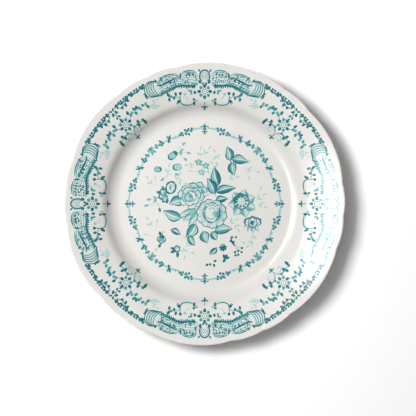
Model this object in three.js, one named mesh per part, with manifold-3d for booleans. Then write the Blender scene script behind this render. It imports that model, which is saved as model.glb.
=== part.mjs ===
// China dinner plate: a round plate with a flat well, a wide sloping rim and a scalloped edge.
//
// Millimetres, +Z up. The origin is the middle of the foot ring's underside. The printed
// pattern is square to X and Y, and the scalloped edge is turned a little from it.
//
// The plate is one fired body with the layers that are put on it in turn:
//   plate_body            biscuit-fired clay, with the foot ring, bare under the ring
//   face_glaze            glass skin over the face, the lip, the back and the outside of the foot
//   recess_glaze          glass skin inside the foot ring
//   cartouche_transfer_n  printed film with one scroll panel of the rim
//   corner_transfer_n     printed film with one flower spray of the rim
//   wreath_transfer       printed film with the ring of small leaves in the well
//   bouquet_transfer      printed film with the roses in the middle of the well

import * as THREE from "three";
import { mergeVertices } from "three/addons/utils/BufferGeometryUtils.js";
import Module from "manifold-3d";

// Driving dimensions: the plate's section, measured on the glazed surface at a notch.
// LIP_LINE_HEIGHT is where the rim's upper line would meet the edge, before the lip is rounded.
const NOTCH_RADIUS = 133;
const LIP_LINE_HEIGHT = 26.6;
const RIM_TURN_RADIUS = 118;
const RIM_TURN_HEIGHT = 23.5;
const FLOOR_TOP = 8;
const FLOOR_THICKNESS = 5;
const WALL_THICKNESS = 4.7;
const LIP_THICKNESS = 3.9;
const LIP_FILLET = 1.6;
const WALL_FOOT_RADIUS = 88.4;
const SHOULDER_RADIUS = 97;
const SHOULDER_HEIGHT = 16.8;
const WELL_FILLET = 18;
const SHOULDER_FILLET = 15;
const RIM_TURN_FILLET = 200;
const BACK_FILLET = 9;

// The foot ring.
const FOOT_OUTER_RADIUS = 79;
const FOOT_INNER_RADIUS = 74.4;
const FOOT_DRAFT = 0.3;
const FOOT_BEVEL = 0.5;
const BARE_FOOT_HEIGHT = 0.9;

// The scalloped edge: six long lobes with a pair of short lobes between each two.
const SECTORS = 6;
const LONG_LOBE_DEG = 100 / 3;
const SHORT_LOBE_DEG = 40 / 3;
const LONG_LOBE_SWELL = 2;
const SHORT_LOBE_SWELL = 1.1;
const LONG_LOBE_STEPS = 6;
const SHORT_LOBE_STEPS = 2;
const EDGE_TURN_DEG = -5.3;

// Layers.
const GLAZE = 0.2;
const FILM = 0.05;
const SEAM = 0.05;

// Where the printed films lie.
const BOUQUET_RADIUS = 60.5;
const WREATH_INNER_RADIUS = 63.5;
const BORDER_INNER_RADIUS = 89;
const BORDER_OUTER_RADIUS = 130.2;
const PANEL_COUNT = 4;
const CARTOUCHE_HALF_DEG = 28.5;
const CORNER_HALF_DEG = 16.2;

// Tessellation of the section's rounded corners.
const WIDE_ARC_STEPS = 3;
const SMALL_ARC_STEPS = 2;

// A cutting wedge reaches well past the plate.
const WEDGE_REACH = 200;
const WEDGE_HEIGHT = 60;

const COLOURS = {
  biscuit: "#e9e2d6",
  glaze: "#f1efeb",
  printedBorder: "#a9cfce",
  printedCorner: "#cfe2e0",
  printedWreath: "#c3dcda",
  printedBouquet: "#bcd9d8",
};

const wasm = await Module();
wasm.setup();

const radians = THREE.MathUtils.degToRad;

/** The edge's stations, counter-clockwise: an angle and how far the edge swells out there. */
function edgeStations() {
  const lobes = [
    { span: SHORT_LOBE_DEG, swell: SHORT_LOBE_SWELL, steps: SHORT_LOBE_STEPS },
    { span: SHORT_LOBE_DEG, swell: SHORT_LOBE_SWELL, steps: SHORT_LOBE_STEPS },
    { span: LONG_LOBE_DEG, swell: LONG_LOBE_SWELL, steps: LONG_LOBE_STEPS },
  ];
  const stations = [];
  let angle = EDGE_TURN_DEG - SHORT_LOBE_DEG;
  for (let sector = 0; sector < SECTORS; sector += 1) {
    for (const lobe of lobes) {
      for (let step = 0; step < lobe.steps; step += 1) {
        const along = step / lobe.steps;
        stations.push({
          angle: radians(angle + lobe.span * along),
          swell: lobe.swell * 4 * along * (1 - along),
        });
      }
      angle += lobe.span;
    }
  }
  return stations;
}

const STATIONS = edgeStations();

/** How much of the edge's swell reaches a radius: none at the shoulder and all at the lip. */
function swellShare(radius) {
  return THREE.MathUtils.smoothstep(radius, SHOULDER_RADIUS, NOTCH_RADIUS - LIP_THICKNESS / 2);
}

/** Moves a section's points to the right of their direction of travel, mitred at corners. */
function offset(points, distance) {
  return points.map((point, i) => {
    const before = points[Math.max(i - 1, 0)];
    const after = points[Math.min(i + 1, points.length - 1)];
    const into = (i > 0 ? point.clone().sub(before) : after.clone().sub(point)).normalize();
    const out = (i < points.length - 1 ? after.clone().sub(point) : into.clone()).normalize();
    const side = new THREE.Vector2(into.y + out.y, -into.x - out.x);
    return point.clone().addScaledVector(side, distance / (1 + into.dot(out)));
  });
}

/** A section through corners given as [radius, height, fillet, steps]. */
function filleted(corners) {
  const points = [];
  corners.forEach(([r, z, fillet, steps], i) => {
    const corner = new THREE.Vector2(r, z);
    if (!fillet) {
      points.push(corner);
      return;
    }
    const towards = ([pr, pz]) => new THREE.Vector2(pr - r, pz - z).normalize();
    const back = towards(corners[i - 1]);
    const on = towards(corners[i + 1]);
    const reach = fillet / Math.tan(Math.acos(THREE.MathUtils.clamp(back.dot(on), -1, 1)) / 2);
    const arc = new THREE.QuadraticBezierCurve(
      corner.clone().addScaledVector(back, reach),
      corner,
      corner.clone().addScaledVector(on, reach),
    );
    points.push(...arc.getPoints(steps));
  });
  return points;
}

/** The glazed section: from the axis over the face and the lip, back under to the bare foot. */
function glazedSection() {
  const rimRise = (RIM_TURN_HEIGHT - SHOULDER_HEIGHT) / (RIM_TURN_RADIUS - SHOULDER_RADIUS);
  const lipRise = (LIP_LINE_HEIGHT - RIM_TURN_HEIGHT) / (NOTCH_RADIUS - RIM_TURN_RADIUS);
  const borderEnd = RIM_TURN_HEIGHT + lipRise * (BORDER_OUTER_RADIUS - RIM_TURN_RADIUS);
  const wallRun = WALL_FOOT_RADIUS - SHOULDER_RADIUS;
  const wallRise = (SHOULDER_HEIGHT - FLOOR_TOP) / -wallRun;
  const rim = new THREE.Vector2(1, rimRise).normalize();
  const wall = new THREE.Vector2(1, wallRise).normalize();
  const [, backShoulder] = offset(
    [
      new THREE.Vector2(SHOULDER_RADIUS, SHOULDER_HEIGHT).sub(wall),
      new THREE.Vector2(SHOULDER_RADIUS, SHOULDER_HEIGHT),
      new THREE.Vector2(SHOULDER_RADIUS, SHOULDER_HEIGHT).add(rim),
    ],
    WALL_THICKNESS,
  );
  const backFloor = FLOOR_TOP - FLOOR_THICKNESS;
  const backWallFoot = backShoulder.x - (backShoulder.y - backFloor) / wallRise;
  return filleted([
    [0, FLOOR_TOP],
    [BOUQUET_RADIUS, FLOOR_TOP],
    [WREATH_INNER_RADIUS, FLOOR_TOP],
    [WALL_FOOT_RADIUS, FLOOR_TOP, WELL_FILLET, WIDE_ARC_STEPS],
    [SHOULDER_RADIUS, SHOULDER_HEIGHT, SHOULDER_FILLET, WIDE_ARC_STEPS],
    [RIM_TURN_RADIUS, RIM_TURN_HEIGHT, RIM_TURN_FILLET, WIDE_ARC_STEPS],
    [BORDER_OUTER_RADIUS, borderEnd],
    [NOTCH_RADIUS, LIP_LINE_HEIGHT, LIP_FILLET, WIDE_ARC_STEPS],
    [NOTCH_RADIUS, LIP_LINE_HEIGHT - LIP_THICKNESS, LIP_FILLET, WIDE_ARC_STEPS],
    [backShoulder.x, backShoulder.y, SHOULDER_FILLET, SMALL_ARC_STEPS],
    [backWallFoot, backFloor, BACK_FILLET, SMALL_ARC_STEPS],
    [FOOT_OUTER_RADIUS + FOOT_DRAFT, backFloor],
    [FOOT_OUTER_RADIUS, BARE_FOOT_HEIGHT],
  ]);
}

/** The recess inside the foot ring: from the bare foot up and along to the axis. */
function recessSection() {
  const backFloor = FLOOR_TOP - FLOOR_THICKNESS;
  return filleted([
    [FOOT_INNER_RADIUS, BARE_FOOT_HEIGHT],
    [FOOT_INNER_RADIUS - FOOT_DRAFT, backFloor],
    [0, backFloor],
  ]);
}

/** Keeps a section's ends on the axis after an offset. */
function ontoAxis(points) {
  return points.map((point) => new THREE.Vector2(point.x < 1 ? 0 : point.x, point.y));
}

/**
 * Two triangles for each four-sided patch of a turned surface, split along its shorter diagonal,
 * so that two layers that lie on each other split their patches alike.
 */
function shorterDiagonals(position, rows) {
  const corner = (i) => new THREE.Vector3().fromBufferAttribute(position, i);
  const index = [];
  for (let column = 0; column < STATIONS.length; column += 1) {
    for (let row = 0; row < rows - 1; row += 1) {
      const a = column * rows + row;
      const b = a + rows;
      const c = b + 1;
      const d = a + 1;
      const splitsBD = corner(b).distanceTo(corner(d)) < corner(a).distanceTo(corner(c));
      index.push(...(splitsBD ? [a, b, d, b, c, d] : [a, b, c, a, c, d]));
    }
  }
  return index;
}

/** Turns a section, given with the solid on its right, and swells its edge into lobes. */
function turned(section) {
  const profile = ontoAxis(section).reverse();
  const geometry = new THREE.LatheGeometry(profile, STATIONS.length);
  const position = geometry.attributes.position;
  for (let i = 0; i < position.count; i += 1) {
    const station = STATIONS[Math.floor(i / profile.length) % STATIONS.length];
    const point = profile[i % profile.length];
    const radius = point.x + station.swell * swellShare(point.x);
    const x = radius * Math.cos(station.angle);
    const y = radius * Math.sin(station.angle);
    position.setXYZ(i, x, y, point.y);
  }
  geometry.setIndex(shorterDiagonals(position, profile.length));
  return geometry;
}

/** A closed skin over a section that starts on the axis. Depths below zero stand proud of it. */
function skin(section, near, far) {
  return turned([...offset(section, near), ...offset(section, far).reverse()]);
}

/** A skin whose section is a loop, so that it returns to its first point. */
function ringSkin(section, near, far) {
  const loop = [...offset(section, near), ...offset(section, far).reverse()];
  return turned([...loop, loop[0].clone()]);
}

/** A geometry as a solid that can be cut. */
function toSolid(geometry) {
  const bare = geometry.clone();
  bare.deleteAttribute("normal");
  bare.deleteAttribute("uv");
  const merged = mergeVertices(bare, 1e-4);
  return new wasm.Manifold(
    new wasm.Mesh({
      numProp: 3,
      vertProperties: merged.attributes.position.array,
      triVerts: Uint32Array.from(merged.index.array),
    }),
  );
}

/** A solid as a geometry. */
function toGeometry(solid) {
  const mesh = solid.getMesh();
  const geometry = new THREE.BufferGeometry();
  geometry.setAttribute("position", new THREE.BufferAttribute(mesh.vertProperties, 3));
  geometry.setIndex(new THREE.BufferAttribute(mesh.triVerts, 1));
  geometry.computeVertexNormals();
  return geometry;
}

/** An upright wedge about the axis, for cutting one panel out of a ring. */
function wedge(middleDeg, halfDeg) {
  const far = (angleDeg) => [
    WEDGE_REACH * Math.cos(radians(angleDeg)),
    WEDGE_REACH * Math.sin(radians(angleDeg)),
  ];
  const outline = new THREE.Shape();
  outline.moveTo(0, 0);
  outline.lineTo(...far(middleDeg - halfDeg));
  outline.lineTo(...far(middleDeg));
  outline.lineTo(...far(middleDeg + halfDeg));
  return new THREE.ExtrudeGeometry(outline, { depth: WEDGE_HEIGHT, bevelEnabled: false });
}

function material(colour, roughness) {
  return new THREE.MeshStandardMaterial({ color: colour, roughness, metalness: 0 });
}

function named(name, geometry, finish) {
  const mesh = new THREE.Mesh(geometry, finish);
  mesh.name = name;
  return mesh;
}

/** The clay body: the glazed section less its skin, closed by the bare underside of the foot. */
function plateBody(outside, recess) {
  const depth = GLAZE + SEAM;
  const over = offset(outside, depth);
  const under = offset(recess, depth);
  const footOuter = over.at(-1).x;
  const footInner = under[0].x;
  const foot = [
    new THREE.Vector2(footOuter, FOOT_BEVEL),
    new THREE.Vector2(footOuter - FOOT_BEVEL, 0),
    new THREE.Vector2(footInner + FOOT_BEVEL, 0),
    new THREE.Vector2(footInner, FOOT_BEVEL),
  ];
  return named("plate_body", turned([...over, ...foot, ...under]), material(COLOURS.biscuit, 0.9));
}

function faceGlaze(outside) {
  return named("face_glaze", skin(outside, 0, GLAZE), material(COLOURS.glaze, 0.1));
}

function recessGlaze(recess) {
  const section = [...offset(recess, GLAZE).reverse(), ...recess];
  return named("recess_glaze", turned(section), material(COLOURS.glaze, 0.12));
}

/** The rim's films: four panels on the axes and four sprays between them. */
function borderTransfers(outside) {
  const start = outside.findIndex((point) => point.x > BORDER_INNER_RADIUS);
  const end = outside.findIndex((point) => point.x === BORDER_OUTER_RADIUS);
  const ring = toSolid(ringSkin(outside.slice(start, end + 1), -SEAM - FILM, -SEAM));
  const films = [];
  for (let i = 0; i < PANEL_COUNT; i += 1) {
    const axisDeg = (360 / PANEL_COUNT) * i;
    const panel = toSolid(wedge(axisDeg, CARTOUCHE_HALF_DEG));
    const corner = toSolid(wedge(axisDeg + 180 / PANEL_COUNT, CORNER_HALF_DEG));
    films.push(
      named(
        `cartouche_transfer_${i + 1}`,
        toGeometry(ring.intersect(panel)),
        material(COLOURS.printedBorder, 0.15),
      ),
      named(
        `corner_transfer_${i + 1}`,
        toGeometry(ring.intersect(corner)),
        material(COLOURS.printedCorner, 0.15),
      ),
    );
  }
  return films;
}

function wreathTransfer(outside) {
  const floorEnd = outside.findIndex((point) => point.x > WREATH_INNER_RADIUS + SEAM);
  const flat = [new THREE.Vector2(WREATH_INNER_RADIUS, FLOOR_TOP), outside[floorEnd]];
  const film = ringSkin(flat, -SEAM - FILM, -SEAM);
  return named("wreath_transfer", film, material(COLOURS.printedWreath, 0.15));
}

function bouquetTransfer(outside) {
  const film = skin(outside.slice(0, 2), -SEAM - FILM, -SEAM);
  return named("bouquet_transfer", film, material(COLOURS.printedBouquet, 0.15));
}

function dinnerPlate() {
  const outside = glazedSection();
  const recess = recessSection();
  const plate = new THREE.Group();
  plate.name = "dinner_plate";
  plate.add(
    plateBody(outside, recess),
    faceGlaze(outside),
    recessGlaze(recess),
    ...borderTransfers(outside),
    wreathTransfer(outside),
    bouquetTransfer(outside),
  );
  return plate;
}

const group = dinnerPlate();

export default group;
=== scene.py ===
"""China dinner plate with a scalloped edge and a teal transfer print.

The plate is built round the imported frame: a biscuit clay body, a glass skin on the face and
back, a second skin in the recess of the foot ring, and the print as thin films of ink in the
glaze. Everything is worked out in millimetres and put into the frame's metres at the end.
"""

import logging
import math
import random
from collections.abc import Callable, Sequence
from dataclasses import dataclass, replace
from enum import Enum

import bmesh
import bpy
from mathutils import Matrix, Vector
from mathutils.bvhtree import BVHTree


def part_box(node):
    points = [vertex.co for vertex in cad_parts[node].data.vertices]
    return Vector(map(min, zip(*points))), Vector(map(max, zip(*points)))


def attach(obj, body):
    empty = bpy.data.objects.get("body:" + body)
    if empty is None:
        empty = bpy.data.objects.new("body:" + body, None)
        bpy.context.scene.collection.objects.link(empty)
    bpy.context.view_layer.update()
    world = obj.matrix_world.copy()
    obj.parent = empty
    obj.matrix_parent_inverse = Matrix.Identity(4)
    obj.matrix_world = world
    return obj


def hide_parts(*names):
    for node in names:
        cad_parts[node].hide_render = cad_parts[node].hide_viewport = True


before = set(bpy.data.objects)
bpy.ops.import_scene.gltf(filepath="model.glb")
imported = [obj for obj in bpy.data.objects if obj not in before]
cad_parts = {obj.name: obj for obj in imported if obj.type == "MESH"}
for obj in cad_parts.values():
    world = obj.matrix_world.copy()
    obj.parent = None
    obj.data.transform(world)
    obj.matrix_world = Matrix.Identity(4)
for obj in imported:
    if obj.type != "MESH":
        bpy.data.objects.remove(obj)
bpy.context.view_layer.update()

# Short names for Blender's types.
Tree = bpy.types.NodeTree
Node = bpy.types.Node
Socket = bpy.types.NodeSocket
Material = bpy.types.Material
Object = bpy.types.Object
Mesh = bmesh.types.BMesh
# Values for a node's inputs, by name or by number.
Links = dict[str | int, object]

log = logging.getLogger("dinner_plate")
MM = 0.001
# The films' two attributes: density of the ink, and millimetres from the mark's middle line.
INK = "ink"
ACROSS = "across"
BODY = "root"


# ---------- Colours and nodes ----------


def linear(code: str) -> tuple[float, float, float, float]:
    """Turn an sRGB hex colour into the linear colour that shaders take.

    Args:
        code: Six hex digits, with or without a leading #.

    Returns:
        Linear red, green and blue, and an alpha of 1.
    """
    digits = code.lstrip("#")
    parts = [int(digits[i : i + 2], 16) / 255 for i in (0, 2, 4)]
    line = [c / 12.92 if c <= 0.04045 else ((c + 0.055) / 1.055) ** 2.4 for c in parts]
    return (line[0], line[1], line[2], 1.0)


def add_node(tree: Tree, kind: str, links: Links | None = None, **settings: object) -> Node:
    """Add one node to a tree, with its settings, values and links.

    Args:
        tree: The node tree.
        kind: Blender's name of the node type.
        links: Input name or index to an output socket, or to a plain value.
        settings: Attributes of the node itself.

    Returns:
        The new node.
    """
    node = tree.nodes.new(kind)
    for name, value in settings.items():
        setattr(node, name, value)
    for name, value in (links or {}).items():
        if isinstance(value, Socket):
            tree.links.new(value, node.inputs[name])
        else:
            node.inputs[name].default_value = value
    return node


def new_material(name: str) -> tuple[Material, Tree]:
    """Start an empty node material.

    Args:
        name: The material's name.

    Returns:
        The material and its node tree, with no nodes in it.
    """
    material = bpy.data.materials.new(name)
    material.use_nodes = True
    material.node_tree.nodes.clear()
    return material, material.node_tree


def finish_surface(tree: Tree, links: Links) -> None:
    """Add the surface shader and the output to a material.

    Args:
        tree: The material's node tree.
        links: Inputs of the Principled shader.
    """
    shader = add_node(tree, "ShaderNodeBsdfPrincipled", links)
    add_node(tree, "ShaderNodeOutputMaterial", {"Surface": shader.outputs[0]})


def object_space(tree: Tree) -> Socket:
    """The object's own coordinates, in metres."""
    return add_node(tree, "ShaderNodeTexCoord").outputs["Object"]


def noise(tree: Tree, where: Socket, grain_mm: float, detail: float = 2.0, rough: float = 0.5) -> Socket:
    """Add a noise with grains of a real size.

    Args:
        tree: The material's node tree.
        where: The point to read it at, in metres.
        grain_mm: Size of its grains in millimetres.
        detail: How many finer layers it has.
        rough: How strong the finer layers are.

    Returns:
        Its value, about one half on average.
    """
    inputs = {"Vector": where, "Scale": 1 / (grain_mm * MM), "Detail": detail, "Roughness": rough}
    return add_node(tree, "ShaderNodeTexNoise", inputs).outputs[0]


def combine(tree: Tree, operation: str, *values: Socket | float, clamp: bool = False) -> Socket:
    """Add one step of arithmetic.

    Args:
        tree: The material's node tree.
        operation: Blender's name of the step.
        values: What it works on.
        clamp: Whether the result is kept between 0 and 1.

    Returns:
        The result.
    """
    links = dict(enumerate(values))
    return add_node(tree, "ShaderNodeMath", links, operation=operation, use_clamp=clamp).outputs[0]


def mix_colours(tree: Tree, share: Socket, first: str, second: str) -> Socket:
    """Mix two sRGB hex colours, from the first at share 0 to the second at share 1."""
    links = {0: share, 6: linear(first), 7: linear(second)}
    return add_node(tree, "ShaderNodeMix", links, data_type="RGBA").outputs[2]


def bumps(tree: Tree, height: Socket, depth_mm: float, strength: float) -> Socket:
    """Tilt the surface by a height, which spans a depth in millimetres."""
    links = {"Height": height, "Distance": depth_mm * MM, "Strength": strength}
    return add_node(tree, "ShaderNodeBump", links).outputs[0]


# ---------- Finishes ----------


@dataclass(frozen=True)
class GlassSurface:
    """The surface of the fired glaze: a hard gloss, with broad ripples and a fine orange peel."""

    ior: float = 1.5
    gloss: float = 0.14
    body_roughness: float = 0.32
    ripple_mm: float = 26.0
    peel_mm: float = 3.0
    depth_mm: float = 0.05
    peel_share: float = 0.12

    def ripple(self, tree: Tree, where: Socket) -> Socket:
        """Add the broad ripple and return its value, about one half on average."""
        return noise(tree, where, self.ripple_mm, rough=0.45)

    def finish(self, tree: Tree, colour: Socket) -> None:
        """Put the glass over a colour and finish the material.

        Args:
            tree: The material's node tree.
            colour: The colour under the glass.
        """
        where = object_space(tree)
        peel = noise(tree, where, self.peel_mm, 1.0)
        uneven = combine(tree, "MULTIPLY_ADD", peel, self.peel_share, self.ripple(tree, where))
        surface = bumps(tree, uneven, self.depth_mm, 0.5)
        links = {"Base Color": colour, "Roughness": self.body_roughness, "IOR": self.ior, "Normal": surface}
        links |= {"Coat Weight": 1.0, "Coat Roughness": self.gloss, "Coat IOR": self.ior}
        links["Coat Normal"] = surface
        finish_surface(tree, links)


@dataclass(frozen=True)
class ChinaGlaze:
    """Clear glaze over warm white china, a little greyer where the glass pooled deeper."""

    name: str = "clear_glaze_on_white_china"
    white: str = "#E4E2DE"
    pooled: str = "#DEDDDA"
    glass: GlassSurface = GlassSurface()

    def material(self) -> Material:
        """Make the glaze material."""
        # Glazed white china.
        material, tree = new_material(self.name)
        pooling = self.glass.ripple(tree, object_space(tree))
        self.glass.finish(tree, mix_colours(tree, pooling, self.white, self.pooled))
        return material


@dataclass(frozen=True)
class BiscuitClay:
    """Fired white clay with no glaze: matt, a little warm, with a fine sandy grain."""

    name: str = "bare_biscuit_clay"
    clay: str = "#E2D9CA"
    grit: str = "#C9BDA9"
    grain_mm: float = 0.6
    stain_mm: float = 9.0
    depth_mm: float = 0.05
    roughness: float = 0.85

    def material(self) -> Material:
        """Make the bare clay material."""
        # Bare fired clay, seen only under the foot ring.
        material, tree = new_material(self.name)
        where = object_space(tree)
        grain = noise(tree, where, self.grain_mm, 3.0)
        share = combine(tree, "MULTIPLY", grain, noise(tree, where, self.stain_mm))
        colour = mix_colours(tree, share, self.clay, self.grit)
        surface = bumps(tree, grain, self.depth_mm, 0.6)
        finish_surface(tree, {"Base Color": colour, "Roughness": self.roughness, "Normal": surface})
        return material


@dataclass(frozen=True)
class TransferInk:
    """Cobalt-green transfer ink fired into the glaze: the engraving's tone under the same gloss.

    The ink's density at each point is in the film's own attribute, and the engraver's fine
    lines follow each mark by its other attribute, the millimetres from its middle line.
    """

    name: str = "teal_transfer_ink"
    bare: str = "#E4E2DE"
    pale: str = "#BCD5D1"
    middle: str = "#55A9AC"
    deep: str = "#00747F"
    pale_at: float = 0.28
    middle_at: float = 0.62
    hatch_mm: float = 1.7
    hatch_share: float = 0.32
    mottle_mm: float = 1.4
    glass: GlassSurface = GlassSurface()

    def material(self) -> Material:
        """Make the ink material."""
        # Teal ink under the glaze, from bare white to the full colour.
        material, tree = new_material(self.name)
        density = add_node(tree, "ShaderNodeAttribute", attribute_name=INK).outputs["Fac"]
        across = add_node(tree, "ShaderNodeAttribute", attribute_name=ACROSS).outputs["Fac"]
        line = combine(tree, "SINE", combine(tree, "MULTIPLY", across, math.tau / self.hatch_mm))
        mottle = noise(tree, object_space(tree), self.mottle_mm)
        grain = combine(tree, "MULTIPLY_ADD", line, 0.5, mottle)
        spread = combine(tree, "MULTIPLY_ADD", grain, self.hatch_share, 1 - self.hatch_share / 2)
        tone = combine(tree, "MULTIPLY", density, spread, clamp=True)
        ramp = add_node(tree, "ShaderNodeValToRGB", {0: tone})
        stops = ramp.color_ramp.elements
        stops[0].color = linear(self.bare)
        stops[1].color = linear(self.deep)
        stops.new(self.pale_at).color = linear(self.pale)
        stops.new(self.middle_at).color = linear(self.middle)
        self.glass.finish(tree, ramp.outputs[0])
        return material


@dataclass(frozen=True)
class StudioPaper:
    """Seamless white background paper: matt, with a barely visible fibre."""

    name: str = "white_background_paper"
    white: str = "#FFFFFF"
    fibre_mm: float = 10 / 9
    depth_mm: float = 0.02

    def material(self) -> Material:
        """Make the paper material."""
        # Matt white paper under the plate.
        material, tree = new_material(self.name)
        surface = bumps(tree, noise(tree, object_space(tree), self.fibre_mm), self.depth_mm, 1.0)
        links = {"Base Color": linear(self.white), "Roughness": 1.0, "Specular IOR Level": 0.0}
        finish_surface(tree, links | {"Normal": surface})
        return material


# ---------- The plate's shape ----------


def smoothstep(value: float, low: float, high: float) -> float:
    """Ease from 0 at low to 1 at high."""
    t = min(max((value - low) / (high - low), 0.0), 1.0)
    return t * t * (3 - 2 * t)


@dataclass(frozen=True)
class ScallopedEdge:
    """The edge's six long lobes, with a pair of short lobes between each two."""

    sectors: int = 6
    long_deg: float = 100 / 3
    short_deg: float = 40 / 3
    long_swell: float = 2.0
    short_swell: float = 1.1
    # Below 1, the lobes are flatter on top and meet in sharper notches.
    roundness: float = 0.85
    turn_deg: float = -5.3
    shoulder: float = 97.0
    lip: float = 131.0
    # A soft pleat runs in from each notch where two lobes meet, deepest between short lobes.
    pleat_depth: float = 0.4
    pleat_width: float = 2.6
    pleat_start: float = 108.0
    side_pleat: float = 0.45

    def phase(self, angle: float) -> float:
        """Degrees past the start of a sector, at an angle in radians from +X."""
        return (math.degrees(angle) - self.turn_deg + self.short_deg) % (360 / self.sectors)

    def swell(self, angle: float) -> float:
        """How far the edge stands out past its notches at an angle, in millimetres."""
        phase = self.phase(angle)
        if phase < 2 * self.short_deg:
            along, swell = (phase % self.short_deg) / self.short_deg, self.short_swell
        else:
            along, swell = (phase - 2 * self.short_deg) / self.long_deg, self.long_swell
        return swell * (4 * along * (1 - along)) ** self.roundness

    def share(self, radius: float) -> float:
        """How much of the swell reaches a radius of the round section."""
        return smoothstep(radius, self.shoulder, self.lip)

    def pleat(self, radius: float, angle: float) -> float:
        """How far the rim dips at a point, in millimetres."""
        phase, side = self.phase(angle), self.side_pleat
        notches = {0.0: side, self.short_deg: 1.0, 2 * self.short_deg: side, 360 / self.sectors: side}
        dip = 0.0
        for notch, share in notches.items():
            away = math.radians(phase - notch) * radius
            dip += share * math.exp(-((away / self.pleat_width) ** 2))
        return dip * self.pleat_depth * smoothstep(radius, self.pleat_start, self.lip)


@dataclass(frozen=True)
class PlateSection:
    """The plate's section in millimetres, on the glazed surface at a notch of the edge."""

    notch_radius: float = 133.0
    lip_line_height: float = 26.6
    rim_turn_radius: float = 118.0
    rim_turn_height: float = 23.5
    floor_top: float = 8.0
    floor_thickness: float = 5.0
    wall_thickness: float = 4.7
    lip_thickness: float = 3.9
    lip_fillet: float = 1.1
    wall_foot_radius: float = 88.4
    shoulder_radius: float = 97.0
    shoulder_height: float = 16.8
    well_fillet: float = 18.0
    shoulder_fillet: float = 15.0
    rim_turn_fillet: float = 200.0
    back_fillet: float = 9.0
    foot_outer: float = 79.0
    foot_inner: float = 74.4
    foot_draft: float = 0.3
    foot_bevel: float = 0.5
    foot_fillet: float = 1.2
    bare_foot_height: float = 0.9
    # The back of the rim is straight between these distances from the lip and its shoulder.
    lip_end: float = 4.0
    shoulder_end: float = 7.0
    # Rows across the flat parts, and steps round the corners.
    floor_rows: tuple[float, ...] = (20.0, 40.0, 60.0)
    recess_rows: tuple[float, ...] = (50.0, 25.0)
    rim_rows: int = 14
    wall_steps: int = 12
    shoulder_steps: int = 10
    corner_steps: int = 8
    foot_steps: int = 4

    @property
    def back_floor(self) -> float:
        """Height of the floor's underside."""
        return self.floor_top - self.floor_thickness

    def filleted(self, corners: Sequence[tuple[float, float, float, int]]) -> list[Vector]:
        """Round the corners of an outline.

        Args:
            corners: Radius, height, fillet and number of steps of each corner.

        Returns:
            The outline's points.
        """
        points: list[Vector] = []
        for i, (r, z, fillet, steps) in enumerate(corners):
            corner = Vector((r, z))
            if not fillet:
                points.append(corner)
                continue
            back = (Vector(corners[i - 1][:2]) - corner).normalized()
            ahead = (Vector(corners[i + 1][:2]) - corner).normalized()
            reach = fillet / math.tan(math.acos(back.dot(ahead)) / 2)
            for step in range(steps + 1):
                t = step / steps
                points.append(corner + back * (reach * (1 - t) ** 2) + ahead * (reach * t * t))
        return points

    def back_corners(self) -> tuple[Vector, float]:
        """The shoulder of the back, and the radius where the back's wall meets the floor."""
        shoulder = Vector((self.shoulder_radius, self.shoulder_height))
        rim = Vector((self.rim_turn_radius, self.rim_turn_height)) - shoulder
        wall = shoulder - Vector((self.wall_foot_radius, self.floor_top))
        rim_side = Vector((rim.y, -rim.x)).normalized()
        wall_side = Vector((wall.y, -wall.x)).normalized()
        both = (rim_side + wall_side) / (1 + rim_side.dot(wall_side))
        back = shoulder + both * self.wall_thickness
        return back, back.x - (back.y - self.back_floor) * wall.x / wall.y

    def face(self) -> list[Vector]:
        """The glazed face and back, from the axis over the lip to the bare foot."""
        back, back_foot = self.back_corners()
        corners = [(r, self.floor_top, 0, 0) for r in (0.0, *self.floor_rows)]
        corners.append((self.wall_foot_radius, self.floor_top, self.well_fillet, self.wall_steps))
        corners.append((self.shoulder_radius, self.shoulder_height, self.shoulder_fillet, self.wall_steps))
        corners.append((self.rim_turn_radius, self.rim_turn_height, self.rim_turn_fillet, self.rim_rows))
        corners.append((self.notch_radius, self.lip_line_height, self.lip_fillet, self.corner_steps))
        lip_under = self.lip_line_height - self.lip_thickness
        corners.append((self.notch_radius, lip_under, self.lip_fillet, self.corner_steps))
        fall = (lip_under - back.y) / (self.notch_radius - back.x)
        start = self.notch_radius - self.lip_end
        run = start - back.x - self.shoulder_end
        for row in range(self.rim_rows):
            radius = start - run * row / (self.rim_rows - 1)
            corners.append((radius, back.y + fall * (radius - back.x), 0, 0))
        corners.append((back.x, back.y, self.shoulder_fillet, self.shoulder_steps))
        corners.append((back_foot, self.back_floor, self.back_fillet, self.corner_steps))
        foot_top = self.foot_outer + self.foot_draft
        corners.append((foot_top, self.back_floor, self.foot_fillet, self.foot_steps))
        corners.append((self.foot_outer, self.bare_foot_height, 0, 0))
        return self.filleted(corners)

    def recess(self) -> list[Vector]:
        """The glazed recess inside the foot ring, from the bare foot to the axis."""
        corners = [(self.foot_inner, self.bare_foot_height, 0, 0)]
        foot_top = self.foot_inner - self.foot_draft
        corners.append((foot_top, self.back_floor, self.foot_fillet, self.foot_steps))
        corners += [(r, self.back_floor, 0, 0) for r in (*self.recess_rows, 0.0)]
        return self.filleted(corners)


def offset(points: Sequence[Vector], depth: float) -> list[Vector]:
    """Move an outline to the right of its direction of travel, mitred at corners.

    Args:
        points: The outline.
        depth: How far to move it, in millimetres.

    Returns:
        The moved outline, with its points on the axis kept there.
    """
    moved = []
    for i, point in enumerate(points):
        into = (point - points[i - 1]).normalized() if i else (points[1] - point).normalized()
        out = (points[i + 1] - point).normalized() if i < len(points) - 1 else into
        side = Vector((into.y + out.y, -into.x - out.x)) / (1 + into.dot(out))
        place = point + side * depth
        moved.append(Vector((0.0, place.y)) if point.x == 0 else place)
    return moved


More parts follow.
